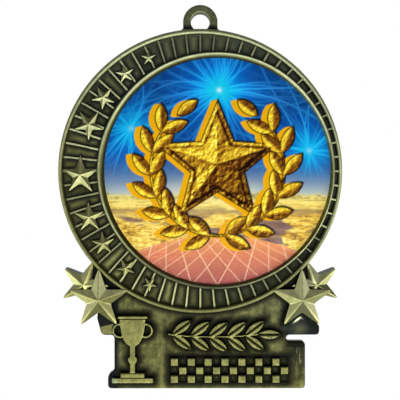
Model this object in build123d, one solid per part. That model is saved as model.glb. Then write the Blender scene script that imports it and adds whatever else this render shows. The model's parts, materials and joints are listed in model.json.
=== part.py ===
"""Sports finisher medal: a die-cast ring with a ribbed star band, two pairs of corner stars and a
plinth, hung by a cast loop, and carrying a printed disc under a clear dome.

The casting is drawn as it lies in its mould: x to the right, y up the medal, z the height above the
flat back, with the middle of the ring at 0, 0. Every piece is then stood up, so that the loop's hole
is at the origin, +Z points up and the front looks along -Y. All lengths are in millimetres and all
angles in degrees."""

from build123d import *
import os
from math import cos, radians, sin, sqrt

# ---- stock printed disc, its adhesive pad and the clear dome over it, stuck a little off-centre ----
insert_diameter = 50.8
insert_thickness = 0.3
pad_margin = 2.4
pad_thickness = 0.25
dome_margin = 0.3
dome_edge_height = 0.3
dome_rise = 0.9
dome_bands = 5
insert_side_gap = 0.4
insert_shift_x = 0.33
insert_shift_y = -0.2

# ---- ring: a flat web with a half-round bead round its edge ----
ring_diameter = 63.5
rim_bead_width = 1.15
rim_height = 4.8
web_height = 2.6
back_edge_chamfer = 0.4
bead_flats = 5

# ---- bezel: the half-round bead that frames the disc, set off to one side of the ring ----
bezel_bead_width = 0.9
bezel_height = 4.8
seat_height = 2.9
bezel_offset_x = 3.5
bezel_offset_y = 0.2

# ---- ribs that divide the band between rim and bezel ----
rib_count = 60
rib_top_width = 0.36
rib_foot_width = 0.62
rib_height = 0.9

# ---- small stars along the wide side of the band ----
# place round the ring, distance from a star's middle to its points, and direction of one point
band_stars = (
    (114.5, 1.65, 93.0),
    (127.7, 2.10, 101.0),
    (142.8, 2.66, 120.0),
    (157.4, 3.38, 125.0),
    (181.9, 4.35, 90.0),
    (202.5, 3.38, 93.0),
    (216.7, 2.60, 96.0),
    (232.4, 2.10, 115.0),
    (245.8, 1.65, 125.0),
)
band_star_skirt = 0.35
band_star_slope = 0.24

# ---- corner stars, a low one behind and a tall one in front on each side ----
star_waist = 0.385
front_star_points = 6.9
front_star_edge = 4.5
front_star_peak = 7.0
front_star_reach = 4.82
front_star_place = 51.7
front_star_turn = 90.0
back_star_points = 5.65
back_star_edge = 3.6
back_star_peak = 5.3
back_star_reach = 4.74
back_star_place = 44.3
back_star_turn = 111.5
star_draft = 4.0

# ---- plinth: the stepped plate below the ring ----
plate_thickness = 2.8
plate_edge_radius = 0.3
plinth_drop = 17.3
plinth_left = 20.85
plinth_right = 23.7
waist_left = 19.4
foot_height = 3.2
foot_corner = 0.7
shelf_drop = 5.2
shelf_height = 3.9
left_shelf_end = 22.3
left_shelf_top = 23.3
right_shelf_end = 26.9
right_shelf_rise = 1.9
slot_height = 1.5
slot_end = 19.4

# ---- relief on the plinth: a cup, a laurel branch and a chequered finish line ----
relief_height = 1.5
relief_base_margin = 1.45
cup_middle = -15.2
cup_height = 15.2
cup_mouth_width = 6.0
cup_bowl_height = 6.2
cup_stem_width = 1.3
cup_foot_width = 9.4
cup_foot_height = 1.25
cup_step_width = 5.6
cup_step_height = 1.15
cup_knop_diameter = 2.2
cup_lip_width = 6.8
cup_lip_height = 0.8
bowl_swell_width = 0.74
bowl_swell_depth = 0.7
handle_thickness = 0.62
handle_diameter = 3.5
handle_bite = 0.1
branch_left = -7.2
branch_length = 26.0
branch_pairs = 5
branch_sag = 0.6
branch_gap = 0.7
stem_width = 0.5
leaf_length = 5.6
leaf_width = 2.2
leaf_belly = 0.45
leaf_lean = 36.0
first_pair = 0.2
finish_left = -6.8
finish_square = 1.9
finish_square_gap = 0.08
finish_columns = 14
finish_rows = 3

# ---- loop for the ribbon ----
loop_bore_radius = 2.0
loop_side_wall = 1.9
loop_top_wall = 1.62
loop_clearance = 0.03
loop_thickness = 3.2
loop_root_radius = 0.6

# ---- sizes that follow from the ones above ----
ring_radius = ring_diameter / 2
rim_inner_radius = ring_radius - rim_bead_width
bezel_inner_radius = insert_diameter / 2 + insert_side_gap
bezel_outer_radius = bezel_inner_radius + bezel_bead_width
pad_radius = insert_diameter / 2 - pad_margin
dome_radius = insert_diameter / 2 - dome_margin
insert_height = seat_height + pad_thickness
dome_height = insert_height + insert_thickness
loop_outer_radius = loop_bore_radius + loop_side_wall
loop_rise = ring_radius + loop_clearance + loop_bore_radius
plinth_bottom = -(ring_radius + plinth_drop)
shelf_bottom = -(ring_radius + shelf_drop)
bezel_middle = Pos(bezel_offset_x, bezel_offset_y)
insert_middle = Pos(bezel_offset_x + insert_shift_x, bezel_offset_y + insert_shift_y)
standing = (Align.CENTER, Align.CENTER, Align.MIN)
upright = (Align.CENTER, Align.MIN)


def around(radius, angle):
    """The point at a distance and an angle from the middle of the ring."""
    return radius * cos(radians(angle)), radius * sin(radians(angle))


def bead_profile(inner, outer, top):
    """A bead standing on the back plane, to be revolved: its half-round top is worked in even flats."""
    radius = (outer - inner) / 2
    crown = [around(radius, 180 * number / bead_flats) for number in range(bead_flats + 1)]
    middle = (inner + outer) / 2
    return Polygon((inner, 0), (outer, 0), *[(middle + x, top - radius + y) for x, y in crown], align=None)


def revolved(profile):
    """A profile drawn as distance and height, turned about the upright axis."""
    return revolve(Plane.XZ * profile, Axis.Z)


def ring():
    """The web and the rim bead, with the back's outer corner eased."""
    web = Cylinder(ring_radius - rim_bead_width / 2, web_height, align=standing)
    body = revolved(bead_profile(rim_inner_radius, ring_radius, rim_height)) + web
    rear = body.edges().filter_by(GeomType.CIRCLE).group_by(Axis.Z)[0].sort_by(SortBy.RADIUS)[-1]
    return chamfer(rear, back_edge_chamfer)


def bezel():
    """The bead round the disc and the raised seat inside it."""
    seat = Cylinder(bezel_outer_radius - bezel_bead_width / 2, seat_height, align=standing)
    bead = revolved(bead_profile(bezel_inner_radius, bezel_outer_radius, bezel_height))
    return bezel_middle * (bead + seat)


def ribs():
    """Tapered bars on even spokes of the ring, trimmed to run from the bezel to the rim."""
    inner_end = bezel_inner_radius - abs(bezel_offset_x) - abs(bezel_offset_y)
    section = Polygon((-rib_foot_width / 2, 0), (rib_foot_width / 2, 0),
                      (rib_top_width / 2, rib_height), (-rib_top_width / 2, rib_height), align=None)
    start = Plane(origin=(inner_end, 0, web_height), x_dir=(0, 1, 0), z_dir=(1, 0, 0))
    bar = extrude(start * section, ring_radius - rim_bead_width / 2 - inner_end)
    spokes = [Rot(0, 0, 360 / rib_count * number) * bar for number in range(rib_count)]
    inside = bezel_middle * Cylinder(bezel_outer_radius - bezel_bead_width / 2, 4 * rim_height)
    return [spoke - inside for spoke in spokes if (spoke - inside).volume > 0]


def star_outline(points, turn, height):
    """A five-pointed star; its inner corners lie at the waist fraction of its points' distance."""
    corners = []
    for number in range(10):
        reach = points if number % 2 == 0 else points * star_waist
        corners.append(around(reach, turn + 36 * number))
    return Pos(0, 0, height) * Polygon(*corners, align=None)


def faceted_star(points, turn, low, edge, peak, draft):
    """A star whose drafted sides rise from low to edge, and whose ten facets meet at its peak."""
    spread = (edge - low) * sin(radians(draft)) / cos(radians(draft)) / star_waist
    sides = loft([star_outline(points + spread, turn, low), star_outline(points, turn, edge)], ruled=True)
    crown = loft([star_outline(points, turn, edge), Vertex(0, 0, peak)], ruled=True)
    return sides + crown


def band_star(place, points, turn):
    """A small star seated on the web midway between bezel and rim, over the ribs."""
    along = radians(place)
    shift = bezel_offset_x * cos(along) + bezel_offset_y * sin(along)
    across = bezel_offset_x * sin(along) - bezel_offset_y * cos(along)
    bezel_reach = shift + sqrt(bezel_outer_radius ** 2 - across ** 2)
    middle = (bezel_reach + rim_inner_radius) / 2
    edge = web_height + rib_height + band_star_skirt
    star = faceted_star(points, turn, web_height, edge, edge + points * band_star_slope, star_draft)
    return Pos(*around(middle, place)) * star


def corner_stars(side):
    """The low star and the tall star before it, on the right for side 1 and the left for -1."""
    back = faceted_star(back_star_points, 90 + side * (back_star_turn - 90), 0,
                        back_star_edge, back_star_peak, star_draft)
    front = faceted_star(front_star_points, front_star_turn, 0, front_star_edge, front_star_peak, star_draft)
    back_x, back_y = around(ring_radius + back_star_reach, -back_star_place)
    front_x, front_y = around(ring_radius + front_star_reach, -front_star_place)
    return [Pos(side * back_x, back_y) * back, Pos(side * front_x, front_y) * front]


def plinth_outline():
    """The stepped plate: a foot and waist on the left, shelves under the stars, a slot on the right."""
    star_x, star_y = around(ring_radius + front_star_reach, -front_star_place)
    back_x, back_y = around(ring_radius + back_star_reach, -back_star_place)
    tip_x, tip_y = around(back_star_points, back_star_turn)
    shelf_top = shelf_bottom + shelf_height
    foot_top = plinth_bottom + foot_height
    slot_bottom = shelf_bottom - slot_height
    return Polygon(
        (-plinth_left, plinth_bottom), (-plinth_left, foot_top), (-waist_left, foot_top + foot_corner),
        (-waist_left, shelf_bottom), (-left_shelf_end, shelf_bottom), (-left_shelf_top, shelf_top),
        (-star_x, star_y), (-back_x, back_y), (-back_x - tip_x, back_y + tip_y),
        (back_x + tip_x, back_y + tip_y), (back_x, back_y), (star_x, star_y),
        (right_shelf_end, shelf_bottom + right_shelf_rise), (right_shelf_end, shelf_bottom),
        (slot_end, shelf_bottom), (slot_end, slot_bottom), (plinth_right, slot_bottom),
        (plinth_right, plinth_bottom), align=None)


def plinth():
    """The plate, with its free corners rounded."""
    plate = extrude(plinth_outline(), plate_thickness, dir=(0, 0, 1))
    free_below = shelf_bottom + right_shelf_rise / 2
    free = [edge for edge in plate.edges().filter_by(Axis.Z) if edge.center().Y < free_below]
    return fillet(free, plate_edge_radius)


def cup_relief():
    """A trophy cup: lip, round-bottomed bowl with two handles, knop on a stem, step and foot."""
    base = relief_base_margin
    step = base + cup_foot_height
    stem = step + cup_step_height
    mouth = base + cup_height - cup_lip_height
    half = cup_mouth_width / 2
    swell = (half * bowl_swell_width, mouth - cup_bowl_height * bowl_swell_depth)
    bowl_side = ThreePointArc((half, mouth), swell, (0, mouth - cup_bowl_height))
    other_side = mirror(bowl_side, Plane.YZ)
    bowl = make_face([*bowl_side.edges(), *other_side.edges(), *Line((-half, mouth), (half, mouth)).edges()])
    foot = Pos(0, base) * Rectangle(cup_foot_width, cup_foot_height, align=upright)
    riser = Pos(0, step) * Rectangle(cup_step_width, cup_step_height, align=upright)
    shaft_height = mouth - cup_bowl_height / 2 - stem
    shaft = Pos(0, stem) * Rectangle(cup_stem_width, shaft_height, align=upright)
    knop = Pos(0, (stem + mouth - cup_bowl_height) / 2) * Circle(cup_knop_diameter / 2)
    lip = Pos(0, mouth) * Rectangle(cup_lip_width, cup_lip_height, align=upright)
    handles = []
    for side in (-1, 1):
        middle = Pos(side * (half - handle_bite), mouth - cup_lip_height - handle_diameter / 2)
        ear = Circle(handle_diameter / 2) - Circle(handle_diameter / 2 - handle_thickness)
        handles.append(middle * ear - bowl)
    return Pos(cup_middle, plinth_bottom) * (foot + riser + shaft + knop + bowl + lip + handles)


def leaf():
    """One laurel leaf along x: two arcs that meet in a point at each end."""
    belly = leaf_length * leaf_belly
    upper = ThreePointArc((0, 0), (belly, leaf_width / 2), (leaf_length, 0))
    lower = ThreePointArc((0, 0), (belly, -leaf_width / 2), (leaf_length, 0))
    return make_face([*upper.edges(), *lower.edges()])


def branch_relief():
    """A laurel branch: pairs of leaves leaning forward along a gently sagging stem, and an end leaf."""
    finish_top = relief_base_margin + finish_rows * finish_square
    leaf_drop = leaf_length * sin(radians(leaf_lean)) + leaf_width / 3
    stem_y = plinth_bottom + finish_top + branch_gap + leaf_drop + branch_sag
    stem_end = branch_length - leaf_length
    half = stem_end / 2
    curve = ThreePointArc((0, 0), (half, -branch_sag), (stem_end, 0))
    pieces = [trace(curve, stem_width)]
    for number in range(branch_pairs):
        share = (number + first_pair) / branch_pairs
        foot = curve @ share
        heading = (curve % share).get_angle(Vector(1, 0, 0)) * (1 if share > 0.5 else -1)
        for lean in (leaf_lean, -leaf_lean):
            pieces.append(Pos(foot.X, foot.Y) * Rot(0, 0, heading + lean) * leaf())
    end_heading = (curve % 1).get_angle(Vector(1, 0, 0))
    pieces.append(Pos(stem_end - stem_width, 0) * Rot(0, 0, end_heading) * leaf())
    return Pos(branch_left, stem_y) * (Sketch() + pieces)


def finish_line_relief():
    """A chequered strip: every other square of the grid stands up."""
    side = finish_square - finish_square_gap
    square = Rectangle(side, side, align=(Align.MIN, Align.MIN))
    corner = Pos(finish_left, plinth_bottom + relief_base_margin)
    return [corner * Pos(column * finish_square, row * finish_square) * square
            for column in range(finish_columns) for row in range(finish_rows) if (column + row) % 2 == 0]


def relief():
    """The three motifs, raised from inside the plate to the relief's height."""
    flat = [cup_relief(), branch_relief(), *finish_line_relief()]
    raised = []
    for motif in flat:
        for face in motif.faces():
            raised.append(extrude(Pos(0, 0, plate_thickness / 2) * face, plate_thickness / 2 + relief_height,
                                  dir=(0, 0, 1)))
    return raised


def loop():
    """The cast lug over the ring, thinnest above its hole, with fillets where it springs from the rim."""
    root = ring_radius - rim_bead_width / 2
    middle = loop_rise + loop_bore_radius + loop_top_wall - loop_outer_radius
    tab = Rectangle(2 * loop_outer_radius, middle - root, align=(Align.CENTER, Align.MAX))
    outline = Pos(0, middle) * (Circle(loop_outer_radius) + tab) + Circle(ring_radius)
    corners = [corner for corner in outline.vertices() if root < corner.Y < ring_radius]
    outline = fillet(corners, loop_root_radius)
    keep = Pos(0, root) * Rectangle(4 * loop_outer_radius, 4 * loop_outer_radius, align=upright)
    return extrude(outline & keep, loop_thickness)


def loop_bore():
    return Pos(0, loop_rise) * Cylinder(loop_bore_radius, 4 * rim_height)


def medal_casting():
    """Everything that comes out of the mould in one piece."""
    cast = ring() + loop() + plinth()
    for side in (-1, 1):
        cast += corner_stars(side)
    for middle, radius in ((bezel_middle, bezel_outer_radius), (Pos(0, 0), rim_inner_radius)):
        cast -= middle * Pos(0, 0, web_height) * Cylinder(radius, 2 * rim_height, align=standing)
    cast += bezel()
    cast += ribs()
    cast += [band_star(*star) for star in band_stars]
    cast += relief()
    return cast - loop_bore()


def adhesive_pad():
    pad = Cylinder(pad_radius, pad_thickness, align=standing)
    return insert_middle * Pos(0, 0, seat_height) * pad


def printed_insert():
    disc = Cylinder(insert_diameter / 2, insert_thickness, align=standing)
    return insert_middle * Pos(0, 0, insert_height) * disc


def clear_dome():
    """A lens of cast resin: a thin upright edge and a shallow spherical crown, turned in bands."""
    sphere = (dome_radius ** 2 + dome_rise ** 2) / (2 * dome_rise)
    top = dome_edge_height + dome_rise
    reaches = [dome_radius * (1 - number / dome_bands) for number in range(dome_bands)]
    crown = [(reach, top - sphere + sqrt(sphere ** 2 - reach ** 2)) for reach in reaches]
    profile = Polygon((0, 0), (dome_radius, 0), *crown, (0, crown[-1][1]), align=None)
    return insert_middle * Pos(0, 0, dome_height) * revolved(profile)


def main():
    hung = Plane(origin=(0, loop_thickness / 2, -loop_rise), x_dir=(1, 0, 0), z_dir=(0, -1, 0)).location
    pieces = {
        "medal_casting": medal_casting(),
        "adhesive_pad": adhesive_pad(),
        "printed_insert": printed_insert(),
        "clear_dome": clear_dome(),
    }
    os.makedirs("parts", exist_ok=True)
    for name, piece in pieces.items():
        piece = hung * piece
        solids = piece.solids()
        print(name, "solids", len(solids), "volume", round(sum(s.volume for s in solids), 1))
        export_step(solids[0] if len(solids) == 1 else Compound(solids), f"parts/{name}.step")


main()
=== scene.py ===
# %% [markdown]
# # A finisher medal in antique brass
#
# The real thing is one zinc casting, plated to look like old brass, with a printed disc stuck in its
# recess and a drop of clear resin cast over the print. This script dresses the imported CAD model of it.
# The model gives every size and place, and the cells below make finer skins for its pieces out of
# numpy arrays, give them materials made of nodes, and light them.

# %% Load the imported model
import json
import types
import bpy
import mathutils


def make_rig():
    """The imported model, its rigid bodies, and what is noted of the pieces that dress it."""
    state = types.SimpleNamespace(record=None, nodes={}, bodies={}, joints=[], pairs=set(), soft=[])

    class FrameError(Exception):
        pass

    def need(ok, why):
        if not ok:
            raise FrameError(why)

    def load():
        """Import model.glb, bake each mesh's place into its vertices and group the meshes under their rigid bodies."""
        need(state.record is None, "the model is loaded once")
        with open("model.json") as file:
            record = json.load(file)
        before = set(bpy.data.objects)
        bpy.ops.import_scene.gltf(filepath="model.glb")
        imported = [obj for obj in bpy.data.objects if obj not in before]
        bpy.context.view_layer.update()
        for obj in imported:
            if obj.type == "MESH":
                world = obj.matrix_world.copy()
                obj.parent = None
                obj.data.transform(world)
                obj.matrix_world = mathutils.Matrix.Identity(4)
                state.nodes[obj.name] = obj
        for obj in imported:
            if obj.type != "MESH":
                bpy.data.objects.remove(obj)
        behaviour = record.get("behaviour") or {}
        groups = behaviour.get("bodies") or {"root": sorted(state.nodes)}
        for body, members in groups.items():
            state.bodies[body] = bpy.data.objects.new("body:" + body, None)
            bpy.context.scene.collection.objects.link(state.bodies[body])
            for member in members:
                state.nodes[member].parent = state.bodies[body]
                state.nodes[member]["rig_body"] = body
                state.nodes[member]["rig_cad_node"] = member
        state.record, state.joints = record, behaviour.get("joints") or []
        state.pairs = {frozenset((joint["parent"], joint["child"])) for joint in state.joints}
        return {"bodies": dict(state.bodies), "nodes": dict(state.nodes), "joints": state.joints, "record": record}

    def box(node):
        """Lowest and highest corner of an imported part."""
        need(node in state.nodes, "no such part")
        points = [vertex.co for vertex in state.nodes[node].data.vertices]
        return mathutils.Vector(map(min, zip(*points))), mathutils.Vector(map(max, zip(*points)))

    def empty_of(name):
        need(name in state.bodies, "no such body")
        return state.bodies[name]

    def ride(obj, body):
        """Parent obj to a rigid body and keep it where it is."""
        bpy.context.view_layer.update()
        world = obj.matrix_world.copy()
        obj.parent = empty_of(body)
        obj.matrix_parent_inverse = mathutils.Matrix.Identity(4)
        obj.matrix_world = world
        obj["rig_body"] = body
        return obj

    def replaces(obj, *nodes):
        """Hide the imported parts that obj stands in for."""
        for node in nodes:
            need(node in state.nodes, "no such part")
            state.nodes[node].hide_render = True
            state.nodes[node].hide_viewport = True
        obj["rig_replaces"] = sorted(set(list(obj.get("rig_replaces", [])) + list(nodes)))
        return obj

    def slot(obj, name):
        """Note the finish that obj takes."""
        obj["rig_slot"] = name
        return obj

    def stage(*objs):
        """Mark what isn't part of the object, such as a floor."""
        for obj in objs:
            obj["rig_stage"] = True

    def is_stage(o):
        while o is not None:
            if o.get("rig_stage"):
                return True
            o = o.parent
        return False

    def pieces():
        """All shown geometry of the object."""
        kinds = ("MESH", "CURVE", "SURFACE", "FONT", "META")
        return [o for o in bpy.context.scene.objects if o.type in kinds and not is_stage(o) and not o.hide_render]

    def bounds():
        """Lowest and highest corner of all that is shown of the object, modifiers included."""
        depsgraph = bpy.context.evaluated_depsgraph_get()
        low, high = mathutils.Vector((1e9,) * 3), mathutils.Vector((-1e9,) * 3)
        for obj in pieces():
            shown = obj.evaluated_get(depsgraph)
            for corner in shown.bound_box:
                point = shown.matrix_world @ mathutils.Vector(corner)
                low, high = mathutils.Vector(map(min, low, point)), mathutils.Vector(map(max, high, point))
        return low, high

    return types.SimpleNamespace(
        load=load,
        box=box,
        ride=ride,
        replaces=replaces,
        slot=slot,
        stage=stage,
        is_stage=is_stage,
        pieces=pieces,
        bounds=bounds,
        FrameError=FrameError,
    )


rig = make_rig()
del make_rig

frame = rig.load()

import json
import math
import bpy
import numpy as np
from mathutils import Vector

cad_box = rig.bounds()
print("pieces in the packed model:", sorted(frame["nodes"]))

# %% [markdown]
# ## Where things are
#
# A medal like this is drawn flat, as it lies in its mould: u to the right, v up the medal and h the
# height above its flat back. Thinking in that frame, in millimetres, keeps every formula below short.
# One function turns such a point into Blender's metres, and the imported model's boxes say where the
# frame's origin, the middle of the ring, is.

# %% Places taken from the model
MM = 0.001
insert_low, insert_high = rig.box("printed_insert")
cast_low, cast_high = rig.box("medal_casting")
dome_low, dome_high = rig.box("clear_dome")

plinth_drop = 17.3
print_shift = (0.33, -0.2)
back_y = cast_high.y
ring_radius = (cast_high.x - cast_low.x) / 2 / MM
plinth_bottom = -ring_radius - plinth_drop
middle_z = cast_low.z - plinth_bottom * MM
print_centre = np.array([(insert_low.x + insert_high.x) / 2, (insert_low.z + insert_high.z) / 2 - middle_z]) / MM
print_radius = (insert_high.x - insert_low.x) / 2 / MM
print_height = (back_y - insert_low.y) / MM
bezel_centre = print_centre - print_shift
bezel_inner, bezel_outer, bezel_height = 25.8, 26.7, 4.8
rim_inner, rim_height, web_height, rib_height = ring_radius - 0.97, 4.8, 2.6, 0.9
print("ring radius", round(ring_radius, 3), "bezel centre", bezel_centre.round(3), "print", round(print_height, 3))


def to_metres(points):
    """Mould frame to Blender: X = u, Y = back - h, Z = middle + v, with millimetres made metres."""
    u, v, h = np.asarray(points, float).T
    return np.column_stack([u * MM, back_y - h * MM, middle_z + v * MM])


# %% [markdown]
# ## Helpers for every surface
#
# Blender's own primitives know nothing of this medal, so each surface is a grid of points worked out
# by a formula, and the faces only say which points are neighbours. Numbers that the finish needs, such
# as how brightly a spot is rubbed, ride along as attributes, one value for each point. Two soft shapes
# of curve, a ramp and a bell, do nearly all the blending.

# %% Grids, faces and pieces
def grid_faces(rows, columns, close_rows=False, close_columns=False):
    """Quads (i, j), (i+1, j), (i+1, j+1), (i, j+1) over a rows x columns grid of points."""
    i = np.arange(rows if close_rows else rows - 1)
    j = np.arange(columns if close_columns else columns - 1)
    i, j = np.meshgrid(i, j, indexing="ij")
    down, right = (i + 1) % rows, (j + 1) % columns
    quads = np.stack([i * columns + j, down * columns + j, down * columns + right, i * columns + right], -1)
    return quads.reshape(-1, 4)


def make_piece(name, points, faces, sharp=40.0, **values):
    """A mesh object from points in the mould frame and groups of faces; edges sharper than an angle
    are kept crisp, and keyword arrays become attributes of the points."""
    mesh = bpy.data.meshes.new(name)
    mesh.from_pydata(to_metres(points).tolist(), [], [list(map(int, face)) for group in faces for face in group])
    for key, value in values.items():
        value = np.asarray(value, np.float32)
        colour = value.ndim == 2
        field = mesh.attributes.new(key, "FLOAT_COLOR" if colour else "FLOAT", "POINT")
        field.data.foreach_set("color" if colour else "value", value.ravel())
    mesh.polygons.foreach_set("use_smooth", np.ones(len(mesh.polygons), bool))
    mesh.set_sharp_from_angle(angle=math.radians(sharp))
    piece = bpy.data.objects.new(name, mesh)
    bpy.context.scene.collection.objects.link(piece)
    print(name, len(mesh.vertices), "points", len(mesh.polygons), "faces")
    return piece


def smooth(x, low, high):
    """0 below low, 1 above high, and 3t^2 - 2t^3 between them."""
    t = np.clip((x - low) / (high - low), 0, 1)
    return t * t * (3 - 2 * t)


def bell(x, middle, width):
    """1 at the middle, falling off to both sides as exp(-((x - middle) / width)^2)."""
    return np.exp(-((x - middle) / width) ** 2)


# %% [markdown]
# ## Noise
#
# Nothing on an old medal is perfectly even. Random numbers on a grid, blended between the grid's
# points and summed at finer and finer scales, give stains, streaks and clouds that are the same in
# every run, because each grid comes from a seeded generator.

# %% Noise from seeded grids
table_size = 256


def value_noise(p, seed):
    """Random values on whole-number places, blended between them by 3t^2 - 2t^3 along x and y."""
    table = np.random.default_rng(seed).uniform(0, 1, (table_size, table_size))
    cell = np.floor(p).astype(int)
    t = p - cell
    t = t * t * (3 - 2 * t)
    x, y = cell[:, 0] % table_size, cell[:, 1] % table_size
    next_x, next_y = (x + 1) % table_size, (y + 1) % table_size
    lower = table[x, y] * (1 - t[:, 0]) + table[next_x, y] * t[:, 0]
    upper = table[x, next_y] * (1 - t[:, 0]) + table[next_x, next_y] * t[:, 0]
    return lower * (1 - t[:, 1]) + upper * t[:, 1]


def noise(x, y, seed):
    """Value noise at places given as two arrays, which can be stretched differently."""
    return value_noise(np.column_stack([x, y]), seed)


def clouds(p, octaves, seed):
    """Value noise at doubling scales and halving strengths, brought to 0..1."""
    total = sum(value_noise(p * 2 ** k, seed + k) / 2 ** k for k in range(octaves))
    return total / (2 - 2 ** (1 - octaves))


print("noise at three places:", clouds(np.array([[0.2, 0.3], [5.1, 7.7], [9.4, 0.6]]), 4, 1).round(3))

# %% [markdown]
# ## The camera
#
# The medal is seen almost straight on from about 20 cm, through a lens of about 80 mm. That is close
# enough for the inner walls of the ring and the sides of the tall stars to show. The camera aims below
# the middle of the ring, about halfway between the top of the loop and the foot of the plinth.

# %% Set up the camera
camera_place, camera_aim = (-1.41, -4.80, 201.1), (-0.07, -6.47, 3.3)
camera_lens, camera_sensor = 79.17, 36.0


def aimed(thing, place, target):
    """Puts a lamp or the camera at a place of the mould frame, facing a target there."""
    thing.location = to_metres([place])[0]
    look = Vector(to_metres([target])[0]) - thing.location
    thing.rotation_mode = "QUATERNION"
    thing.rotation_quaternion = look.to_track_quat("-Z", "Y")


scene = bpy.context.scene
camera = bpy.data.objects.new("camera", bpy.data.cameras.new("camera"))
camera.data.sensor_width, camera.data.lens = camera_sensor, camera_lens
scene.collection.objects.link(camera)
scene.camera = camera
aimed(camera, camera_place, camera_aim)
print("camera", [round(x, 4) for x in camera.location])

# %% [markdown]
# ## Nodes
#
# Every material here is a handful of nodes. One helper makes a node, sets its inputs and links them,
# so a material reads as a short list of what feeds what.

# %% Make nodes
def feed(tree, node, inputs):
    """Gives inputs of a node a value each, or a link from another node's output."""
    for key, value in inputs.items():
        if isinstance(value, bpy.types.NodeSocket):
            tree.links.new(value, node.inputs[key])
        else:
            node.inputs[key].default_value = value


def new_node(tree, kind, numbered=None, **named):
    """A node with its settings, whose names start in lower case, and its inputs, by name, with _ for a
    blank, or by number where two inputs share a name."""
    node = tree.nodes.new("ShaderNode" + kind)
    for key in [key for key in named if key[0].islower()]:
        setattr(node, key, named.pop(key))
    feed(tree, node, {key.replace("_", " "): value for key, value in named.items()})
    feed(tree, node, numbered or {})
    return node


def new_material(name):
    """A material with Blender's standard surface shader, and its node tree."""
    material = bpy.data.materials.new(name)
    material.use_nodes = True
    return material, material.node_tree, material.node_tree.nodes["Principled BSDF"]


def set_surface(tree, shader, output="OutputMaterial"):
    """Makes a shader the surface of a tree that was emptied first."""
    new_node(tree, output, Surface=shader.outputs[0])


print("kinds of shader node:", sum(kind.startswith("ShaderNode") for kind in dir(bpy.types)))

# %% [markdown]
# ## The room
#
# Brass shows its surroundings, so the room is chosen for what the facets mirror. It is a grey that
# changes with direction: dim above, brighter in front of the medal, and white behind it.

# %% Set up the room
scene.view_settings.view_transform = "Standard"
world = bpy.data.worlds.new("studio")
scene.world = world
world.use_nodes = True
tree = world.node_tree
tree.nodes.clear()


def seen_part(axis, low, high, sign=1.0):
    """0 to 1 as a direction's X, Y or Z, times sign, goes from low to high."""
    return new_node(tree, "MapRange", interpolation_type="SMOOTHSTEP", From_Min=low * sign, From_Max=high * sign,
                    Value=split.outputs[axis]).outputs["Result"]


def blended(below, above, share):
    """A grey that goes from one to another as share does; below may be a number or an output."""
    return new_node(tree, "Mix", data_type="FLOAT", A=below, B=above, Factor=share).outputs["Result"]


direction = new_node(tree, "TexCoord")
split = new_node(tree, "SeparateXYZ", {0: direction.outputs["Generated"]})
side_grey, ceiling_grey, front_grey, behind_grey = 0.45, 0.20, 0.70, 1.0
grey = blended(side_grey, ceiling_grey, seen_part("Z", 0.05, 0.50))
grey = blended(grey, front_grey, seen_part("Y", 0.50, 0.85, -1.0))
grey = blended(grey, behind_grey, seen_part("Y", 0.30, 0.70))
set_surface(tree, new_node(tree, "Background", Color=grey), "OutputWorld")
print("greys of the room:", side_grey, ceiling_grey, front_grey, behind_grey)

# %% [markdown]
# ## The lamps
#
# Four wide soft lamps light the medal, all from below the camera, so that slopes that look down shine
# and those that look up stay dark. One stands in front, a long one lies lower still, and one stands at
# each side, cooler on the left and warmer on the right. A lamp's brightness is given as what a mirror
# would show.

# %% Hang the lamps
def add_lamp(name, place, target, size, shine, colour=(1.0, 1.0, 1.0)):
    """A rectangular area lamp of size mm. Its power is pi times its area times shine, so that shine is
    how bright it looks in a mirror."""
    width, height = size[0] * MM, size[1] * MM
    data = bpy.data.lights.new(name, "AREA")
    data.shape, data.size, data.size_y = "RECTANGLE", width, height
    data.energy, data.color = math.pi * width * height * shine, colour
    lamp = bpy.data.objects.new(name, data)
    scene.collection.objects.link(lamp)
    aimed(lamp, place, target)
    lamp.visible_camera = False
    print(name, "gives", round(data.energy, 3), "W")


add_lamp("key_lamp", (10, -170, 350), (0, -5, 0), (280, 280), 3.4)
add_lamp("low_lamp", (0, -330, 90), (0, -8, 0), (700, 170), 2.6)
add_lamp("left_lamp", (-330, -170, 210), (0, -8, 0), (240, 240), 1.7, (0.94, 1.0, 0.96))
add_lamp("right_lamp", (330, -170, 210), (0, -8, 0), (240, 240), 3.3, (1.0, 0.935, 0.85))

# %% [markdown]
# ## The floor
#
# The medal hangs over a wide pale floor. To the camera, to metal and to clear resin the floor glows
# almost white and still keeps a faint shadow, but other light bounces off it as off plain paper, so
# it doesn't light the medal more than a floor would.

# %% Lay the floor
floor_radius, floor_level, floor_steps = 1.6, -0.60, 96


def floor_material():
    """Plain paper for bounced light; faint paper plus a glow for camera, glossy and clear rays."""
    material, tree, _ = new_material("floor_paper")
    tree.nodes.clear()
    paper = new_node(tree, "BsdfDiffuse", Color=(0.85, 0.85, 0.85, 1.0))
    faint = new_node(tree, "BsdfDiffuse", Color=(0.30, 0.30, 0.30, 1.0))
    white = new_node(tree, "Emission", Strength=0.94)
    glow = new_node(tree, "AddShader", {0: faint.outputs[0], 1: white.outputs[0]})
    path = new_node(tree, "LightPath")
    seen = new_node(tree, "Math", {0: path.outputs["Is Camera Ray"], 1: path.outputs["Is Glossy Ray"]},
                    operation="MAXIMUM")
    either = new_node(tree, "Math", {0: seen.outputs[0], 1: path.outputs["Is Transmission Ray"]}, operation="MAXIMUM")
    set_surface(tree, new_node(tree, "MixShader", {1: paper.outputs[0], 2: glow.outputs[0]}, Fac=either.outputs[0]))
    return material


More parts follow.
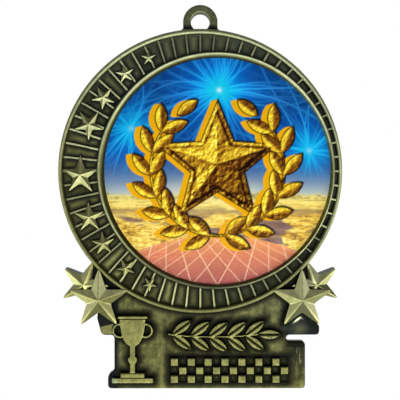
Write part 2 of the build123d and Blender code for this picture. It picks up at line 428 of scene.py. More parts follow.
a = np.linspace(0, 2 * np.pi, floor_steps, endpoint=False)
floor_rim = np.column_stack([floor_radius * np.cos(a), floor_radius * np.sin(a), np.full(floor_steps, floor_level)])
floor_mesh = bpy.data.meshes.new("floor")
floor_mesh.from_pydata(floor_rim.tolist(), [], [list(range(floor_steps))])
floor_mesh.materials.append(floor_material())
floor = bpy.data.objects.new("floor", floor_mesh)
scene.collection.objects.link(floor)
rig.stage(floor)
print("floor", 2 * floor_radius, "m wide, at", floor_level, "m")

# %% [markdown]
# ## Antique brass
#
# The plating is blackened all over and then rubbed, so that the recesses stay black, the flats turn
# olive and the crests shine pale. One number per point, polish, holds how far a spot is rubbed,
# and in places painted light too: painted highlights on crests and ridges, lit and shaded star facets,
# and tones that change round the ring with the light. It is chosen as the brightness that the spot
# shows when it faces the light squarely, so a surface can be planned in tones. A second number, warm,
# says whether the patina there is a cool green or a warm brown.

# %% Tones of brass
tint_stops = [0.0, 0.2, 0.4, 0.7, 1.0]
cool_tint = np.array([[1.13, 1.09, 1.05, 1.025, 1.015], [1.05, 0.95, 0.78, 0.78, 0.82]])
warm_tint = np.array([[1.02, 0.995, 0.99, 0.99, 0.995], [0.74, 0.50, 0.53, 0.62, 0.72]])


def linear(tone):
    """Screen tone to linear light: ((t + 0.055) / 1.055) ^ 2.4, or t / 12.92 near black."""
    tone = np.asarray(tone, float)
    return np.where(tone <= 0.04045, tone / 12.92, ((tone + 0.055) / 1.055) ** 2.4)


def brass_tone(polish, warm):
    """The colour of brass at a polish: a screen tone of that brightness with tinted green and blue.
    Warm patina keeps less of both than cool patina does: tint = cool + (warm tint - cool) warm."""
    green, blue = (np.interp(polish, tint_stops, row) for row in cool_tint + (warm_tint - cool_tint) * warm)
    return linear(np.minimum(polish * np.array([1.0, green, blue]), 1.0))


print("brass tones:", [tuple(brass_tone(p, 0.5).round(3)) for p in (0.1, 0.5, 0.9)])

# %% [markdown]
# ## The brass material
#
# Noise makes the polish uneven, and two ramps, a cool and a warm one, turn it into colours that warm
# blends. What is rubbed bright is smoother too. A fine grain in the bump is the cast skin.

# %% Make the brass material
lowest_tone, rough_patina, rough_crest = 0.04, 0.55, 0.28


def tone_ramp(tree, warm, polish):
    """A ramp of eleven brass tones over polish."""
    ramp_node = new_node(tree, "ValToRGB", Fac=polish)
    stops = ramp_node.color_ramp.elements
    stops[0].color, stops[1].color = (*brass_tone(lowest_tone, warm), 1), (*brass_tone(1.0, warm), 1)
    for stop in (0.1, 0.2, 0.3, 0.4, 0.5, 0.6, 0.7, 0.8, 0.9):
        stops.new(stop).color = (*brass_tone(stop, warm), 1)
    return ramp_node.outputs["Color"]


def brass_material(uneven=0.11, grain_depth=0.03 * MM):
    """Brass driven by the polish and warm attributes; uneven is how far the noise shifts the polish."""
    material, tree, shader = new_material("antique_brass")
    place = new_node(tree, "TexCoord").outputs["Object"]
    cloud = new_node(tree, "TexNoise", Scale=800.0, Detail=5.0, Roughness=0.6, Vector=place)
    shift = new_node(tree, "MapRange", From_Min=0.25, From_Max=0.75, To_Min=1.0 - uneven, To_Max=1.0 + uneven,
                     Value=cloud.outputs["Fac"])
    polish = new_node(tree, "Attribute", attribute_name="polish")
    rubbed_and_lit = new_node(tree, "Math", {0: polish.outputs["Fac"], 1: shift.outputs["Result"]}, operation="MULTIPLY")
    warmth = new_node(tree, "Attribute", attribute_name="warm")
    cool, warm = (tone_ramp(tree, end, rubbed_and_lit.outputs[0]) for end in (0.0, 1.0))
    metal = new_node(tree, "Mix", {6: cool, 7: warm}, data_type="RGBA", Factor=warmth.outputs["Fac"])
    gloss = new_node(tree, "MapRange", To_Min=rough_patina, To_Max=rough_crest, Value=rubbed_and_lit.outputs[0])
    grain = new_node(tree, "TexNoise", Scale=3500.0, Detail=3.0, Vector=place)
    bump = new_node(tree, "Bump", Strength=0.4, Distance=grain_depth, Height=grain.outputs["Fac"])
    feed(tree, shader, {"Metallic": 1.0, "Base Color": metal.outputs[2], "Roughness": gloss.outputs["Result"],
                        "Normal": bump.outputs["Normal"]})
    return material


brass = brass_material()
print("material", brass.name, "has", len(brass.node_tree.nodes), "nodes")

# %% [markdown]
# ## Where the patina is warm
#
# Old brass isn't one colour. Low down and on the left it is browner and more yellow; near the top right
# it is a cool grey green. A slow change over the medal is worked out from each point's place, and a
# piece may be browner or cooler here and there on its own account.

# %% Warmth from place
wall_polish, back_polish = 0.06, 0.36


def warmth_at(points):
    """0 for cool and 1 for warm: it grows downwards and, less so, to the left."""
    u, v = points[:, 0], points[:, 1]
    return 0.8 * smooth(-(v + 0.45 * u) / 31, -0.9, 1.5)


def brass_piece(name, points, faces, polish, sharp=40.0, browned=0.0):
    """A piece of the casting, finished in brass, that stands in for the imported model's casting."""
    warm = np.clip(warmth_at(np.asarray(points)) + browned, 0, 1)
    piece = make_piece(name, points, faces, sharp, polish=polish, warm=warm)
    piece.data.materials.append(brass)
    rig.ride(piece, "root")
    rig.replaces(piece, "medal_casting")
    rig.slot(piece, "antique_brass")
    return piece


print("warmth at the top and the bottom:", warmth_at(np.array([[0, ring_radius], [0, plinth_bottom]])).round(2))

# %% [markdown]
# ## Round shapes
#
# The ring, the bezel and the dome are turned shapes: one profile carried round a middle, as on a
# lathe. Blender could spin a curve, but a grid of points gives the same with the finish in hand at
# every row. What changes on the way round, such as the shine of a crest, is a table of degrees and
# values.

# %% Carry profiles round
round_steps = 360


def carried(profile, centre=(0.0, 0.0), steps=round_steps):
    """(distance, height) points carried round a centre: (r cos a, r sin a, h) for every angle a."""
    r, h = np.asarray(profile, float).T
    a = np.linspace(0, 2 * np.pi, steps, endpoint=False)
    return np.stack([centre[0] + r[:, None] * np.cos(a), centre[1] + r[:, None] * np.sin(a),
                     np.repeat(h[:, None], steps, 1)], -1).reshape(-1, 3)


def closed_faces(rows, columns):
    """Quads of a grid that closes sideways, and two fans of triangles: from its first row to the point
    that follows the grid, and from its last row to the point after that."""
    j, count = np.arange(columns), rows * columns
    following, last = (j + 1) % columns, count - columns
    return [grid_faces(rows, columns, close_columns=True), np.column_stack([np.full(columns, count), j, following]),
            np.column_stack([last + j, np.full(columns, count + 1), last + following])]


def turned(profile, centre=(0.0, 0.0), steps=round_steps):
    """A solid disc. Its profile runs from the front's middle over the outer edge to the back's middle."""
    profile = np.asarray(profile, float)
    middles = [[*centre, profile[0, 1]], [*centre, profile[-1, 1]]]
    return np.vstack([carried(profile[1:-1], centre, steps), middles]), closed_faces(len(profile) - 2, steps)


def round_table(turn, table):
    """A value that changes smoothly round the ring, from a table of (degrees, value)."""
    angles, values = np.array(table, float).T
    return np.interp(np.degrees(turn) % 360, angles, values, period=360)


print("a table read at 0 and 355 degrees:", round_table(np.radians([0, 355]), [(10, 0.2), (350, 0.6)]).round(2))

# %% [markdown]
# ## The ring
#
# One profile gives the flat floor of the recess, the half round bead of the rim, the outer wall and
# the eased edge at the back. Over the upper arc the bead reaches a little further in.

# %% Turn the ring
recess_floor, bead_foot, outer_foot, edge_ease = 2.2, 3.2, 3.0, 0.4
upper_widening = 0.2


def bead(inner, outer, top, steps=14):
    """The half circle of a bead's top, from its inner to its outer shoulder, squared up outside."""
    radius, middle = (outer - inner) / 2, (outer + inner) / 2
    a = np.linspace(np.pi, 0, steps + 1)
    square = np.where(a < np.pi / 2, 0.65, 1.0)
    x, y = np.cos(a), np.sin(a)
    return np.column_stack([middle + radius * np.sign(x) * np.abs(x) ** square,
                            top - radius + radius * np.abs(y) ** square])


def widening(turn):
    """How much further in the rim reaches over its upper arc, in mm: an S-shaped ramp of the height."""
    return upper_widening * smooth(np.sin(turn), 0.2, 0.7)


quarter = np.linspace(0, np.pi / 2, 5)
corner = np.column_stack([ring_radius - edge_ease * (1 - np.cos(quarter)), edge_ease * (1 - np.sin(quarter))])
recess = [[r, recess_floor] for r in (0, 12, 24, rim_inner)] + [[rim_inner, bead_foot]]
outer_wall = [[ring_radius, outer_foot], [ring_radius, outer_foot - 1.4]]
crest = bead(rim_inner, ring_radius, rim_height)
ring_points, ring_faces = turned(np.vstack([recess, crest, outer_wall, corner, [[24, 0], [12, 0], [0, 0]]]))
u, v, h = ring_points.T
reach, turn = np.hypot(u, v), np.arctan2(v, u)
on_bead = (h > outer_foot) & (reach > rim_inner - 0.01)
wider = widening(turn) * np.clip((ring_radius - reach) / (ring_radius - rim_inner), 0, 1) * on_bead
ring_points[:, :2] *= (1 - wider / np.maximum(reach, 1.0))[:, None]
print("ring", len(ring_points), "points, at most", round(wider.max(), 3), "mm wider")

# %% [markdown]
# The rim is brightest along its crest, where every thumb and cloth touches it, and it fades quickly
# inwards and slowly outwards. On top of that wear the crest carries a painted highlight: how bright it
# is and how far in it lies change round the ring with the light, brighter over the top than at the
# bottom, and the outer shoulder gets a painted highlight that is strongest over the upper right. The
# darker ground of the bead is lifted over the lower half, painted light in the groove there.

# %% Rub the ring
# Painted light: these two tables give the brightness of the crest's painted highlight and how far in it lies, angle by
# angle.
rim_polish_and_light = [(0, 0.70), (18, 0.59), (33, 0.56), (51, 0.555), (75, 0.525), (90, 0.525), (123, 0.565), (147, 0.515),
             (168, 0.555), (183, 0.565), (211, 0.43), (231, 0.435), (255, 0.37), (273, 0.33), (297, 0.405),
             (333, 0.48), (348, 0.60)]
rim_highlight_inset = [(3, 0.42), (24, 0.54), (48, 0.84), (90, 0.86), (132, 0.78), (162, 0.58), (186, 0.34), (222, 0.24),
             (315, 0.26), (345, 0.32)]
outer_wall_polish = 0.5
inset = ring_radius - (reach - wider)
shine, inward = round_table(turn, rim_polish_and_light), inset - round_table(turn, rim_highlight_inset)
on_crest_highlight = bell(inward, 0, np.where(inward > 0, 0.28, 0.45))
# The bead's ground tone: patina, lower on the right, and lifted over the lower half as painted light in the groove.
patina = np.where(np.abs(turn) < 0.7, 0.15, 0.24) + 0.14 * smooth(-np.sin(turn), -0.1, 0.4)
# A painted highlight along the outer shoulder, strongest over the top and the upper right.
shoulder = (1.1 + 0.4 * np.sin(turn) + bell(turn, 1.0, 0.35)) * (1 - smooth(inset, 0.05, 0.45))
rubbed_and_lit = np.minimum(patina + (shine - patina) * np.maximum(on_crest_highlight, shoulder), 1.0)
ring_polish = np.where(h > bead_foot + 0.1, rubbed_and_lit, np.where(inset < 0.1, outer_wall_polish, back_polish))
brass_piece("ring_body", ring_points, ring_faces, ring_polish)

# %% [markdown]
# ## Outlines
#
# Stars, leaves and the plinth are flat outlines raised to a height. Two questions about an outline are
# enough to build them all: where do its corners lie, and how deep inside it is a point?

# %% Corners and depths
def star_corners(size, spin, waist=0.385):
    """Ten corners, points and notches in turn, every 36 degrees; waist is notch over point."""
    angles = np.radians(spin + 36 * np.arange(10))
    reach = np.where(np.arange(10) % 2 == 0, size, size * waist)
    return np.column_stack([reach * np.cos(angles), reach * np.sin(angles)])


def distance_to_side(p, a, b):
    """Distance to the line from a to b; the nearest place on it is a share t, held within 0..1."""
    side = b - a
    t = np.clip((p - a) @ side / (side @ side), 0, 1)
    return np.hypot(*(p - a - t[:, None] * side).T)


def depth_in_polygon(p, corners):
    """Distance to the nearest side, positive inside and negative outside. A point is inside if a ray
    from it crosses the outline an odd number of times."""
    nearest, inside = np.full(len(p), np.inf), np.zeros(len(p), bool)
    for a, b in zip(corners, np.roll(corners, -1, 0)):
        nearest = np.minimum(nearest, distance_to_side(p, a, b))
        side = b - a
        level = (a[1] > p[:, 1]) != (b[1] > p[:, 1])
        inside ^= level & (p[:, 0] < side[0] * (p[:, 1] - a[1]) / (side[1] + 1e-12) + a[0])
    return np.where(inside, nearest, -nearest)


def gap_to_stars(p, stars):
    """How far outside the nearest of several stars, each (place, size, spin), a point lies."""
    return np.min([-depth_in_polygon(p - place, star_corners(size, spin)) for place, size, spin in stars], axis=0)


print("corners of a star:", star_corners(1.0, 90)[:3].round(2).tolist())

# %% [markdown]
# ## Places of the small stars
#
# Nine stars stand halfway between the bezel and the rim, where the band is wide. Each has its own
# size and turn, because they were cut into the mould by hand.

# %% Place the small stars
def bezel_reach(direction, radius):
    """How far from the ring's middle a circle round the bezel's centre lies in a direction:
    along + sqrt(radius^2 - across^2), with the centre's shares along and across that direction."""
    along, across = direction @ bezel_centre, direction @ (-bezel_centre[1], bezel_centre[0])
    return along + np.sqrt(radius ** 2 - across ** 2)


def band_middle(degrees):
    """Halfway between the bezel and the foot of the rim, along a direction from the ring's middle."""
    direction = np.array([math.cos(math.radians(degrees)), math.sin(math.radians(degrees))])
    return direction * (bezel_reach(direction, bezel_outer) + rim_inner - 0.18) / 2


band_stars = [(band_middle(degrees), size, spin) for degrees, size, spin in (
    (114.5, 1.65, 93.0), (127.7, 2.10, 101.0), (142.8, 2.66, 120.0), (157.4, 3.38, 125.0), (181.9, 4.35, 90.0),
    (202.5, 3.38, 93.0), (216.7, 2.60, 96.0), (232.4, 2.10, 115.0), (245.8, 1.65, 125.0))]
print("band stars at", [tuple(place.round(1)) for place, _, _ in band_stars])

# %% [markdown]
# ## The ribbed band
#
# Sixty ribs divide the crescent between rim and bezel into cells. The band is a height field on a polar
# grid. The grid's columns crowd together at the ribs, so that their walls are steep without a dense
# mesh. How far each point is from the nearest rib, bead or star settles all else about it.

# %% Lay out the band
rib_count, rib_step, band_rows = 60, np.radians(6), 42
offsets = np.radians([0, 0.14, 0.26, 0.36, 0.46, 0.56, 0.68, 0.85, 1.1, 1.45, 1.9, 2.4])
columns = np.sort([*offsets, rib_step / 2, *(rib_step - offsets[1:])])
turns = (np.arange(rib_count)[:, None] * rib_step + columns).ravel()
directions = np.stack([np.cos(turns), np.sin(turns)], -1)
start, end = bezel_reach(directions, bezel_outer - 0.35), rim_inner + 0.4
reach = start + np.linspace(0, 1, band_rows)[:, None] * (end - start)
flat = (reach[..., None] * directions).reshape(-1, 2)
turn, reach = np.broadcast_to(turns, reach.shape).ravel(), reach.ravel()
rib_gap = np.abs((turn + rib_step / 2) % rib_step - rib_step / 2) * reach
bezel_gap = np.hypot(*(flat - bezel_centre).T) - bezel_outer
rim_gap = rim_inner - widening(turn) - reach
star_gap = gap_to_stars(flat, band_stars)
band_width = bezel_gap + rim_gap
print("band from", round(band_width.min(), 2), "to", round(band_width.max(), 2), "mm wide")

# %% [markdown]
# The ribs stand up from the floor with steep walls. Where the crescent closes up on the right, rim and
# bezel nearly touch, and both the floor and the ribs rise between them.

# %% Raise the ribs
band_back = 2.3
narrow = 1 - smooth(band_width, 0.8, 2.6)
floor_height = web_height + 1.5 * (1 - smooth(band_width, 0.35, 1.1))
rib_top = web_height + rib_height + 1.22 * narrow
height = floor_height + (rib_top - floor_height) * (1 - smooth(rib_gap, 0.18, 0.37))
edges = flat.reshape(band_rows, -1, 2)[[-1, 0]].reshape(-1, 2)
back = np.column_stack([edges, np.full(len(edges), band_back)])
band_points = np.vstack([np.column_stack([flat, height]), back])
print("band heights from", round(height.min(), 2), "to", round(height.max(), 2), "mm")

# %% [markdown]
# A cloth reaches the tops of the ribs and the middle of each cell, and leaves the corners black. So the
# floor's shine grows with the distance to the nearest wall. The corners are painted lighter over the top
# of the ring and next to the rim, painted light in the shade there. Cells and ribs have tables of their own.

# %% Rub the band
rib_shine = [(0, 0.54), (12, 0.53), (18, 0.45), (24, 0.42), (30, 0.44), (36, 0.47), (42, 0.54), (54, 0.61),
             (60, 0.60), (72, 0.51), (84, 0.42), (96, 0.44), (108, 0.49), (120, 0.64), (132, 0.66), (150, 0.60),
             (162, 0.70), (168, 0.68), (180, 0.50), (192, 0.47), (222, 0.43), (234, 0.54), (252, 0.54), (258, 0.56),
             (264, 0.54), (270, 0.51), (288, 0.46), (306, 0.36), (324, 0.31), (330, 0.33), (336, 0.50), (348, 0.60)]
cell_shine = [(3, 0.15), (21, 0.17), (33, 0.21), (39, 0.21), (51, 0.24), (63, 0.24), (75, 0.26), (87, 0.29),
              (105, 0.30), (117, 0.20), (126, 0.31), (135, 0.29), (147, 0.23), (156, 0.26), (168, 0.32), (177, 0.29),
              (189, 0.22), (195, 0.29), (207, 0.28), (213, 0.19), (219, 0.30), (231, 0.40), (237, 0.15), (243, 0.33),
              (249, 0.25), (255, 0.34), (267, 0.23), (279, 0.18), (303, 0.145), (321, 0.15), (339, 0.15)]
degrees = np.degrees(turn)
clear = np.min([0.8 * bezel_gap, 1.5 * rim_gap, rib_gap - 0.28, star_gap], axis=0)
# The tone of the corners: black patina, painted lighter over the top of the ring and next to the rim, which is painted
# light.
corner_patina_and_light = 0.105 + 0.09 * bell(degrees, 88, 28) + 0.12 * bell(rim_gap, 0, 0.5) * (1 - narrow)
rubbed_and_lit = round_table(turn, cell_shine) * (1.15 + 0.5 * (clouds(flat * 0.9, 4, 51) - 0.5))
floor_polish = corner_patina_and_light + (rubbed_and_lit - corner_patina_and_light) * smooth(clear, 0.0, 1.25 - 0.95 * narrow)
ends = smooth(bezel_gap, -0.20, 0.20 - 0.3 * narrow) * smooth(rim_gap, -0.35, -0.2 * narrow)
rib_polish = 0.12 + (round_table(turn, rib_shine) - 0.12) * ends
band_polish = floor_polish + (rib_polish - floor_polish) * (1 - smooth(rib_gap, 0.20, 0.33))
brown = 0.42 * smooth(clear, 0.25, 0.9) * (1 - bell(degrees, 48, 26)) * smooth(np.sin(turn), -0.9, 0.2)
brown = brown - 0.4 * (1 - smooth(rib_gap, 0.20, 0.33))
band_faces = grid_faces(band_rows + 2, len(turns), close_rows=True, close_columns=True)
brass_piece("ribbed_band", band_points, [band_faces], np.append(band_polish, np.full(len(edges), 0.1)),
            browned=np.append(brown, np.zeros(len(edges))))

# %% [markdown]
# ## The bezel
#
# The bead that frames the print is a closed ring of its own, set to one side of the rim. Its outer
# side is steep, and its inner side slopes gently down to the edge of the print, wherever that lies.

# %% Carry the bezel round
crest_reach, slope_width, slope_height, bezel_foot = 26.3, 1.1, 1.5, 2.3
rise = np.linspace(0, np.pi / 2, 13)
inner_curve = np.column_stack([crest_reach - slope_width * np.cos(rise),
                               bezel_height - slope_height * (1 - np.sin(rise))])
outer_curve = np.column_stack([crest_reach + (bezel_outer - crest_reach) * np.cos(rise),
                               bezel_height - 0.45 * (1 - np.sin(rise))])[-2::-1]
bezel_profile = np.vstack([inner_curve, outer_curve, [[bezel_outer, 3.4], [bezel_outer, bezel_foot],
                                                      [crest_reach - slope_width, bezel_foot]]])
bezel_points = carried(bezel_profile, bezel_centre)
arm = bezel_points[:, :2] - bezel_centre
reach, turn = np.hypot(*arm.T), np.arctan2(arm[:, 1], arm[:, 0])
ray = arm / reach[:, None]
slope_foot = print_radius + 0.03 + ray @ (print_centre - bezel_centre)
stretched = crest_reach - (crest_reach - reach) * (crest_reach - slope_foot) / slope_width
reach = np.where(reach < crest_reach, stretched, reach)
bezel_points[:, :2] = bezel_centre + ray * reach[:, None]
print("the slope starts", round(slope_foot.min(), 2), "to", round(slope_foot.max(), 2), "mm from the bezel's centre")

# %% [markdown]
# The bezel's crest is buffed, and it carries a painted highlight whose brightness, width and place
# across the bead change round the ring with the light, dimmest at the bottom. The slope down to the
# print keeps its patina, painted lighter where the light falls on it, most at the upper right.

# %% Rub the bezel
# Painted light: the brightness of the crest's highlight, the slope's tone and how far across the bead the highlight
# lies, angle by angle.
bezel_polish_and_light = [(0, 0.60), (30, 0.60), (60, 0.60), (90, 0.51), (120, 0.60), (150, 0.66), (180, 0.52), (210, 0.68),
               (240, 0.47), (270, 0.34), (300, 0.46), (330, 0.95)]
slope_patina_and_light = [(3, 0.48), (20, 0.70), (33, 0.88), (48, 0.64), (63, 0.36), (93, 0.28), (123, 0.25), (147, 0.30),
               (177, 0.30), (213, 0.19), (267, 0.27), (297, 0.24), (327, 0.32)]
bezel_highlight_offset = [(3, 0.36), (20, 0.14), (33, -0.10), (63, -0.08), (93, -0.25), (123, -0.34), (147, -0.40),
               (165, -0.22), (180, 0.0), (213, -0.06), (237, -0.10), (267, -0.06), (297, 0.16), (327, 0.46)]
across = reach - (bezel_inner + bezel_outer) / 2 - round_table(turn, bezel_highlight_offset)
# The slope keeps patina with painted light on it from its table; the outer side stays dark.
low = np.where(across < 0, round_table(turn, slope_patina_and_light), 0.13)
# The painted highlight is wider on the left.
highlight_width = 0.26 + 0.16 * bell(np.degrees(turn) % 360, 178, 14)
on_crest_highlight = bell(across, 0, highlight_width) * (bezel_points[:, 2] > 4.0)
brown = 0.9 * smooth(-across, 0.2, 0.5) - 0.3 * (1 - smooth(np.abs(across), 0.2, 0.4))
bezel_faces = grid_faces(len(bezel_profile), round_steps, close_rows=True, close_columns=True)
brass_piece("bezel", bezel_points, [bezel_faces], low + (round_table(turn, bezel_polish_and_light) - low) * on_crest_highlight,
            browned=brown)

# %% [markdown]
# ## Stars
#
# A faceted star is a cone over a star outline: every ray from its peak to the outline is straight, so
# each half arm comes out as one flat facet by itself. The outline's corners are eased a little first,
# which rounds the tips and the ridges together, as polishing does.

# %% Shape a star
cone_shares = np.array([0.06, 0.14, 0.24, 0.36, 0.48, 0.6, 0.7, 0.8, 0.88, 0.94, 0.975, 1.0])
ridge_width = 0.12


def eased_outline(corners, per_side=18, notch_passes=8, tip_passes=14):
    """Points along a polygon's sides, with its corners softened by averaging neighbours: tips, which
    are every other corner, by more passes than the notches between them."""
    t = (1 - np.cos(np.linspace(0, np.pi, per_side, endpoint=False)))[:, None] / 2
    line = np.vstack([a + (b - a) * t for a, b in zip(corners, np.roll(corners, -1, 0))])
    to_notch = smooth(np.tile(np.vstack([t, 1 - t]), (len(corners) // 2, 1)), 0.3, 0.7)
    softened = [line]
    for _ in range(max(tip_passes, notch_passes)):
        line = line / 2 + (np.roll(line, 1, 0) + np.roll(line, -1, 0)) / 4
        softened.append(line)
    return softened[tip_passes] * (1 - to_notch) + softened[notch_passes] * to_notch


def faceted_star(centre, size, spin, base, edge, peak, draft, facet_light, ridge_wear_and_glint, tip_passes=14):
    """Rings of the outline shrunk towards the peak: h = peak - (peak - edge) s at share s. Every facet has
    a tone of its own, painted light and shade where facets differ, the ridges between them share one,
    which is wear with a painted highlight, and the walls keep a dark patina."""
    line = eased_outline(star_corners(size, spin), tip_passes=tip_passes)
    spread = 1 + draft / size
    rings = [*zip(cone_shares, peak - (peak - edge) * cone_shares),
             (1.004, edge - 0.12), ((1 + spread) / 2, (edge + base) / 2), (spread, base)]
    points = np.vstack([np.column_stack([line * s, np.full(len(line), h)]) for s, h in rings]
                       + [[[0, 0, peak], [0, 0, base]]])
    points[:, :2] += centre
    sector = (np.arctan2(line[:, 1], line[:, 0]) - math.radians(spin)) % (2 * np.pi) / math.radians(36)
    facet = np.asarray(facet_light)[sector.astype(int) % 10]
    to_ridge = np.hypot(*line.T) * np.sin(np.abs((sector + 1) % 2 - 1) * math.radians(36))
    # Along the ridges the tone is set to one value: wear on the edges and a painted highlight.
    cone = [facet + (ridge_wear_and_glint - facet) * bell(s * to_ridge, 0, ridge_width) for s in cone_shares]
    walls = np.repeat([wall_polish, wall_polish, back_polish], len(line))
    return points, closed_faces(len(rings), len(line)), np.concatenate([*cone, walls, [ridge_wear_and_glint, back_polish]])


def star_piece(name, stars):
    """Several stars as one mesh; each star is a dictionary of what faceted_star needs."""
    points, faces, polish, first = [], [], [], 0
    for star in stars:
        p, f, v = faceted_star(**star)
        points.append(p)
        polish.append(v)
        faces += [group + first for group in f]
        first += len(p)
    return brass_piece(name, np.vstack(points), faces, np.concatenate(polish), 30.0)


print("points round a star:", len(eased_outline(star_corners(1.0, 90))))

# %% [markdown]
# The small stars of the band stand a little higher than the ribs and are rubbed evenly, with a painted
# highlight along their ridges. Easing an outline takes a little off its tips, so stars are drawn
# slightly too large.

# %% Cut the small stars
small_growth, small_edge = 1.04, web_height + rib_height + 0.35
small_shine = (0.55, 0.58, 0.575, 0.55, 0.60, 0.56, 0.53, 0.51, 0.51)
star_piece("band_stars", [
    dict(centre=centre, size=size * small_growth, spin=spin, base=web_height - 0.2, edge=small_edge,
         peak=small_edge + size * 0.24, draft=0.15, facet_light=(shine,) * 10, ridge_wear_and_glint=shine + 0.1)
    for (centre, size, spin), shine in zip(band_stars, small_shine)])

# %% [markdown]
# ## Corner stars
#
# At each end of the plinth a low star leans against the ring, behind a tall upright one. Each of their
# ten facets has a number of its own, anticlockwise from the first point: painted light and shade, high
# for facets turned to the light and low for those turned from it.

# %% Cut the corner stars
back_step, corner_growth = 0.02, 1.055
tall_size, low_size, low_spin = 6.9, 5.65, 21.5


def beside_ring(reach, degrees, side):
    """A place outside the ring, so many degrees below its middle: side is -1 on the left, 1 on the right."""
    return np.array([side * (ring_radius + reach) * math.cos(math.radians(degrees)),
                     -(ring_radius + reach) * math.sin(math.radians(degrees))])


tall_places = {side: beside_ring(4.82, 51.7, side) for side in (-1, 1)}
low_places = {side: beside_ring(4.74, 44.3, side) for side in (-1, 1)}
# Painted light and shade: one tone for each facet of the low and the tall stars.
low_facet_light = {-1: (1.0, 0.73, 0.75, 0.8, 0.4, 0.15, 0.90, 1.0, 1.0, 0.67),
              1: (0.90, 1.0, 1.0, 0.76, 0.27, 0.35, 0.5, 0.61, 0.78, 1.0)}
tall_facet_light = {-1: (1.0, 0.82, 0.55, 0.95, 0.30, 0.31, 0.80, 0.34, 0.93, 1.0),
               1: (0.79, 0.86, 0.48, 0.76, 0.28, 0.285, 1.0, 0.39, 0.76, 1.0)}
star_piece("low_corner_stars", [
    dict(centre=low_places[side], size=low_size * corner_growth, spin=90 + side * low_spin, base=2 * back_step,
         edge=3.95, peak=5.3, draft=0.35, facet_light=low_facet_light[side], ridge_wear_and_glint=0.7, tip_passes=40)
    for side in (-1, 1)])
star_piece("tall_corner_stars", [
    dict(centre=tall_places[side], size=tall_size * corner_growth, spin=90.0, base=3 * back_step,
         edge=5.1 if side < 0 else 5.4, peak=7.0, draft=0.35, facet_light=tall_facet_light[side], ridge_wear_and_glint=0.58,
         tip_passes=40)
    for side in (-1, 1)])

# %% [markdown]
# ## The relief of the plinth
#
# The plinth is a plate with low relief: a trophy cup, a laurel branch and a chequered finish line. Each
# of them is described by its depth, how far inside it a point lies. Shapes are joined by taking the
# greatest depth and cut by taking the smallest, so a cup is a few boxes, a circle and a curved bowl.

# %% Draw the motifs
foot_line = plinth_bottom + 1.45
cup_middle, cup_height, lip_height, bowl_height, bowl_reach = -15.2, 15.2, 0.8, 6.2, 3.0
branch_left, branch_length, branch_rise, branch_sag = -7.2, 20.4, 11.02, 0.6
squares_left, square, square_columns, square_rows = -6.8, 1.9, 14, 3


def depth_in_circle(p, centre, radius):
    """Distance to a circle's line, positive inside."""
    return radius - np.hypot(*(p - centre).T)


def depth_in_box(p, low, high):
    """Smallest distance to the four sides inside, and the distance to the box outside."""
    d = np.maximum(np.asarray(low) - p, p - np.asarray(high))
    outside = np.hypot(*np.maximum(d, 0).T)
    return np.where(outside > 0, -outside, -d.max(1))


def depth_in_leaf(p, foot, heading, length, width):
    """A leaf is what two equal circles through both of its ends share. Their radius is
    (length^2 + width^2) / (4 width). The place across the leaf comes second."""
    c, s = math.cos(math.radians(heading)), math.sin(math.radians(heading))
    along = (p[:, 0] - foot[0]) * c + (p[:, 1] - foot[1]) * s - length / 2
    across = -(p[:, 0] - foot[0]) * s + (p[:, 1] - foot[1]) * c
    radius = (length ** 2 + width ** 2) / (4 * width)
    return radius - np.hypot(along, np.abs(across) + radius - width / 2), across


def depth_in_cup(p):
    """Foot, step, stem and lip are boxes round the middle, given by half width, bottom and top. A knop,
    a bowl whose half width grows along a curve, and two round handles join them."""
    q = p - (cup_middle, foot_line)
    x, y = np.abs(q[:, 0]), q[:, 1]
    mouth = cup_height - lip_height
    bowl_foot = mouth - bowl_height
    boxes = ((4.7, 0, 1.25), (2.8, 1.2, 2.4), (0.65, 2.3, mouth - 5.4), (3.4, mouth, cup_height))
    parts = [depth_in_box(q, (-half, bottom), (half, top)) for half, bottom, top in boxes]
    knop = depth_in_circle(q, (0, (2.4 + bowl_foot) / 2), 1.1)
    side = bowl_reach * np.interp(y, bowl_foot + bowl_height * np.array([0, 0.03, 0.1, 0.2, 0.35, 0.6, 1.0]),
                                  [0, 0.25, 0.48, 0.64, 0.78, 0.92, 1.0])
    bowl = np.min([side - x, y - bowl_foot, mouth + 0.1 - y], axis=0)
    handle = 0.31 - np.abs(np.hypot(x - 2.9, y - (mouth - 2.55)) - 1.44)
    return np.max([*parts, knop, bowl, handle], axis=0)


def branch_line(share):
    """The stem of the laurel: x runs evenly and y sags as 4 s (1 - s)."""
    return np.column_stack([branch_left + branch_length * share,
                            foot_line + branch_rise - branch_sag * 4 * share * (1 - share)])


def depth_in_branch(p):
    """Stem and leaves, with how far from the middle of its leaf each point lies, for the midrib."""
    stem = branch_line(np.linspace(0, 1, 25))
    depth = np.max([0.25 - distance_to_side(p, a, b) for a, b in zip(stem[:-1], stem[1:])], axis=0)
    midrib = np.full(len(p), 9.0)
    for foot in (*branch_line((np.arange(5) + 0.2) / 5), *branch_line(np.array([0.975]))):
        at_tip = foot[0] > branch_left + 0.97 * branch_length
        for lean in (0,) if at_tip else (36, -36):
            leaf, across = depth_in_leaf(p, foot, lean, 5.6, 2.2)
            midrib = np.where((leaf > depth) & (leaf > 0), np.abs(across), midrib)
            depth = np.maximum(depth, leaf)
    return depth, midrib


